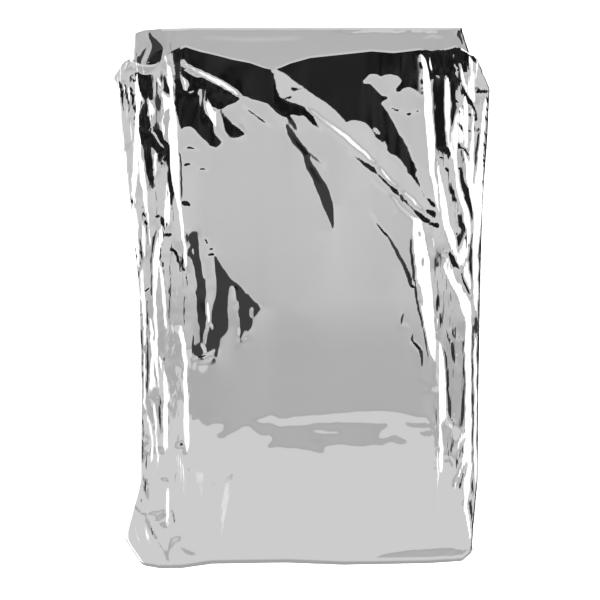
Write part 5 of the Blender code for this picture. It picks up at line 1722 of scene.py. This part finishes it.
LAMP_HEIGHT = 1.4  # in metres, as the lamps' size
LAMP_SIZE = 1.1
SENSOR_WIDTH = 36.0  # in millimetres, as the lens
PANEL_SHARE = 0.9  # the share of the packet's height at which its smooth panel lies


class FOIL_OT_film(bpy.types.Operator):
    """Makes the folded film, with its pleats, creases and the edges of its layers"""

    bl_idname = "foil.film"
    bl_label = "Folded Film"
    bl_options = {"REGISTER", "UNDO"}

    def execute(self, context):
        stack = LeafStack()
        film = bpy.data.objects.new("foil_film", film_mesh("foil_film", stack, all_fields(stack)))
        context.scene.collection.objects.link(film)
        film.data.materials.append(metallised_polyester_film(context.scene.foil_blanket))
        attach(film, "root")
        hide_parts("foil_sheet")
        return {"FINISHED"}


class FOIL_OT_studio(bpy.types.Operator):
    """Makes the board, the wall, the room's light, the lamps and the camera"""

    bl_idname = "foil.studio"
    bl_label = "Studio"
    bl_options = {"REGISTER", "UNDO"}

    def execute(self, context):
        props = context.scene.foil_studio
        context.scene.view_settings.view_transform = "Standard"
        build_room(props)
        bpy.ops.object.select_all(action="DESELECT")
        bpy.ops.mesh.primitive_circle_add(vertices=96, radius=props.board_radius, fill_type="NGON")
        board = context.object
        board.name = "board"
        board.data.materials.append(painted_board(props))
        bpy.ops.object.select_all(action="DESELECT")
        bpy.ops.mesh.primitive_uv_sphere_add(segments=64, ring_count=32, radius=props.wall_radius)
        wall = context.object
        wall.name = "wall"
        wall.data.shade_smooth()
        wall.data.materials.append(lit_wall(props))
        for ray in ("diffuse", "glossy", "transmission", "volume_scatter", "shadow"):
            setattr(wall, f"visible_{ray}", False)
        board.visible_glossy = False
        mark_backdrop(board, wall)
        for name, x, y in (("lamp_left", -0.9, 0.2), ("lamp_right", 0.9, -0.2)):
            bpy.ops.object.light_add(type="AREA", location=(x, y, LAMP_HEIGHT))
            lamp = context.object
            lamp.name = name
            lamp.data.size = LAMP_SIZE
            lamp.data.energy = props.lamp_power
            lamp.rotation_euler = (0.0, math.atan2(x, LAMP_HEIGHT), 0.0)
            lamp.visible_glossy = False
            lamp.visible_camera = False
        panel_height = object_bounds()[1][2] * PANEL_SHARE
        data = bpy.data.cameras.new("camera")
        data.sensor_width = SENSOR_WIDTH
        data.lens = SENSOR_WIDTH * (props.camera_height - panel_height) / props.view_width
        data.clip_end = 20.0
        camera = bpy.data.objects.new("camera", data)
        camera.location = (props.view_x, props.view_y, props.camera_height)
        context.scene.collection.objects.link(camera)
        context.scene.camera = camera
        return {"FINISHED"}


class FOIL_PT_panel(bpy.types.Panel):
    """Lists the operators and their settings"""

    bl_idname = "FOIL_PT_panel"
    bl_label = "Foil Blanket"
    bl_space_type = "VIEW_3D"
    bl_region_type = "UI"
    bl_category = "Foil Blanket"

    def draw(self, context):
        layout = self.layout
        for settings, operator in (
            (context.scene.foil_blanket, FOIL_OT_film.bl_idname),
            (context.scene.foil_studio, FOIL_OT_studio.bl_idname),
        ):
            box = layout.box()
            for name in settings.bl_rna.properties.keys():
                if name not in ("rna_type", "name"):
                    box.prop(settings, name)
            box.operator(operator)


CLASSES = (FoilBlanketSettings, StudioSettings, FOIL_OT_film, FOIL_OT_studio, FOIL_PT_panel)


def register():
    for each in CLASSES:
        bpy.utils.register_class(each)
    bpy.types.Scene.foil_blanket = bpy.props.PointerProperty(type=FoilBlanketSettings)
    bpy.types.Scene.foil_studio = bpy.props.PointerProperty(type=StudioSettings)


def unregister():
    del bpy.types.Scene.foil_studio
    del bpy.types.Scene.foil_blanket
    for each in reversed(CLASSES):
        bpy.utils.unregister_class(each)


def main():
    register()
    bpy.ops.foil.film()
    bpy.ops.foil.studio()


if __name__ == "__main__":
    main()
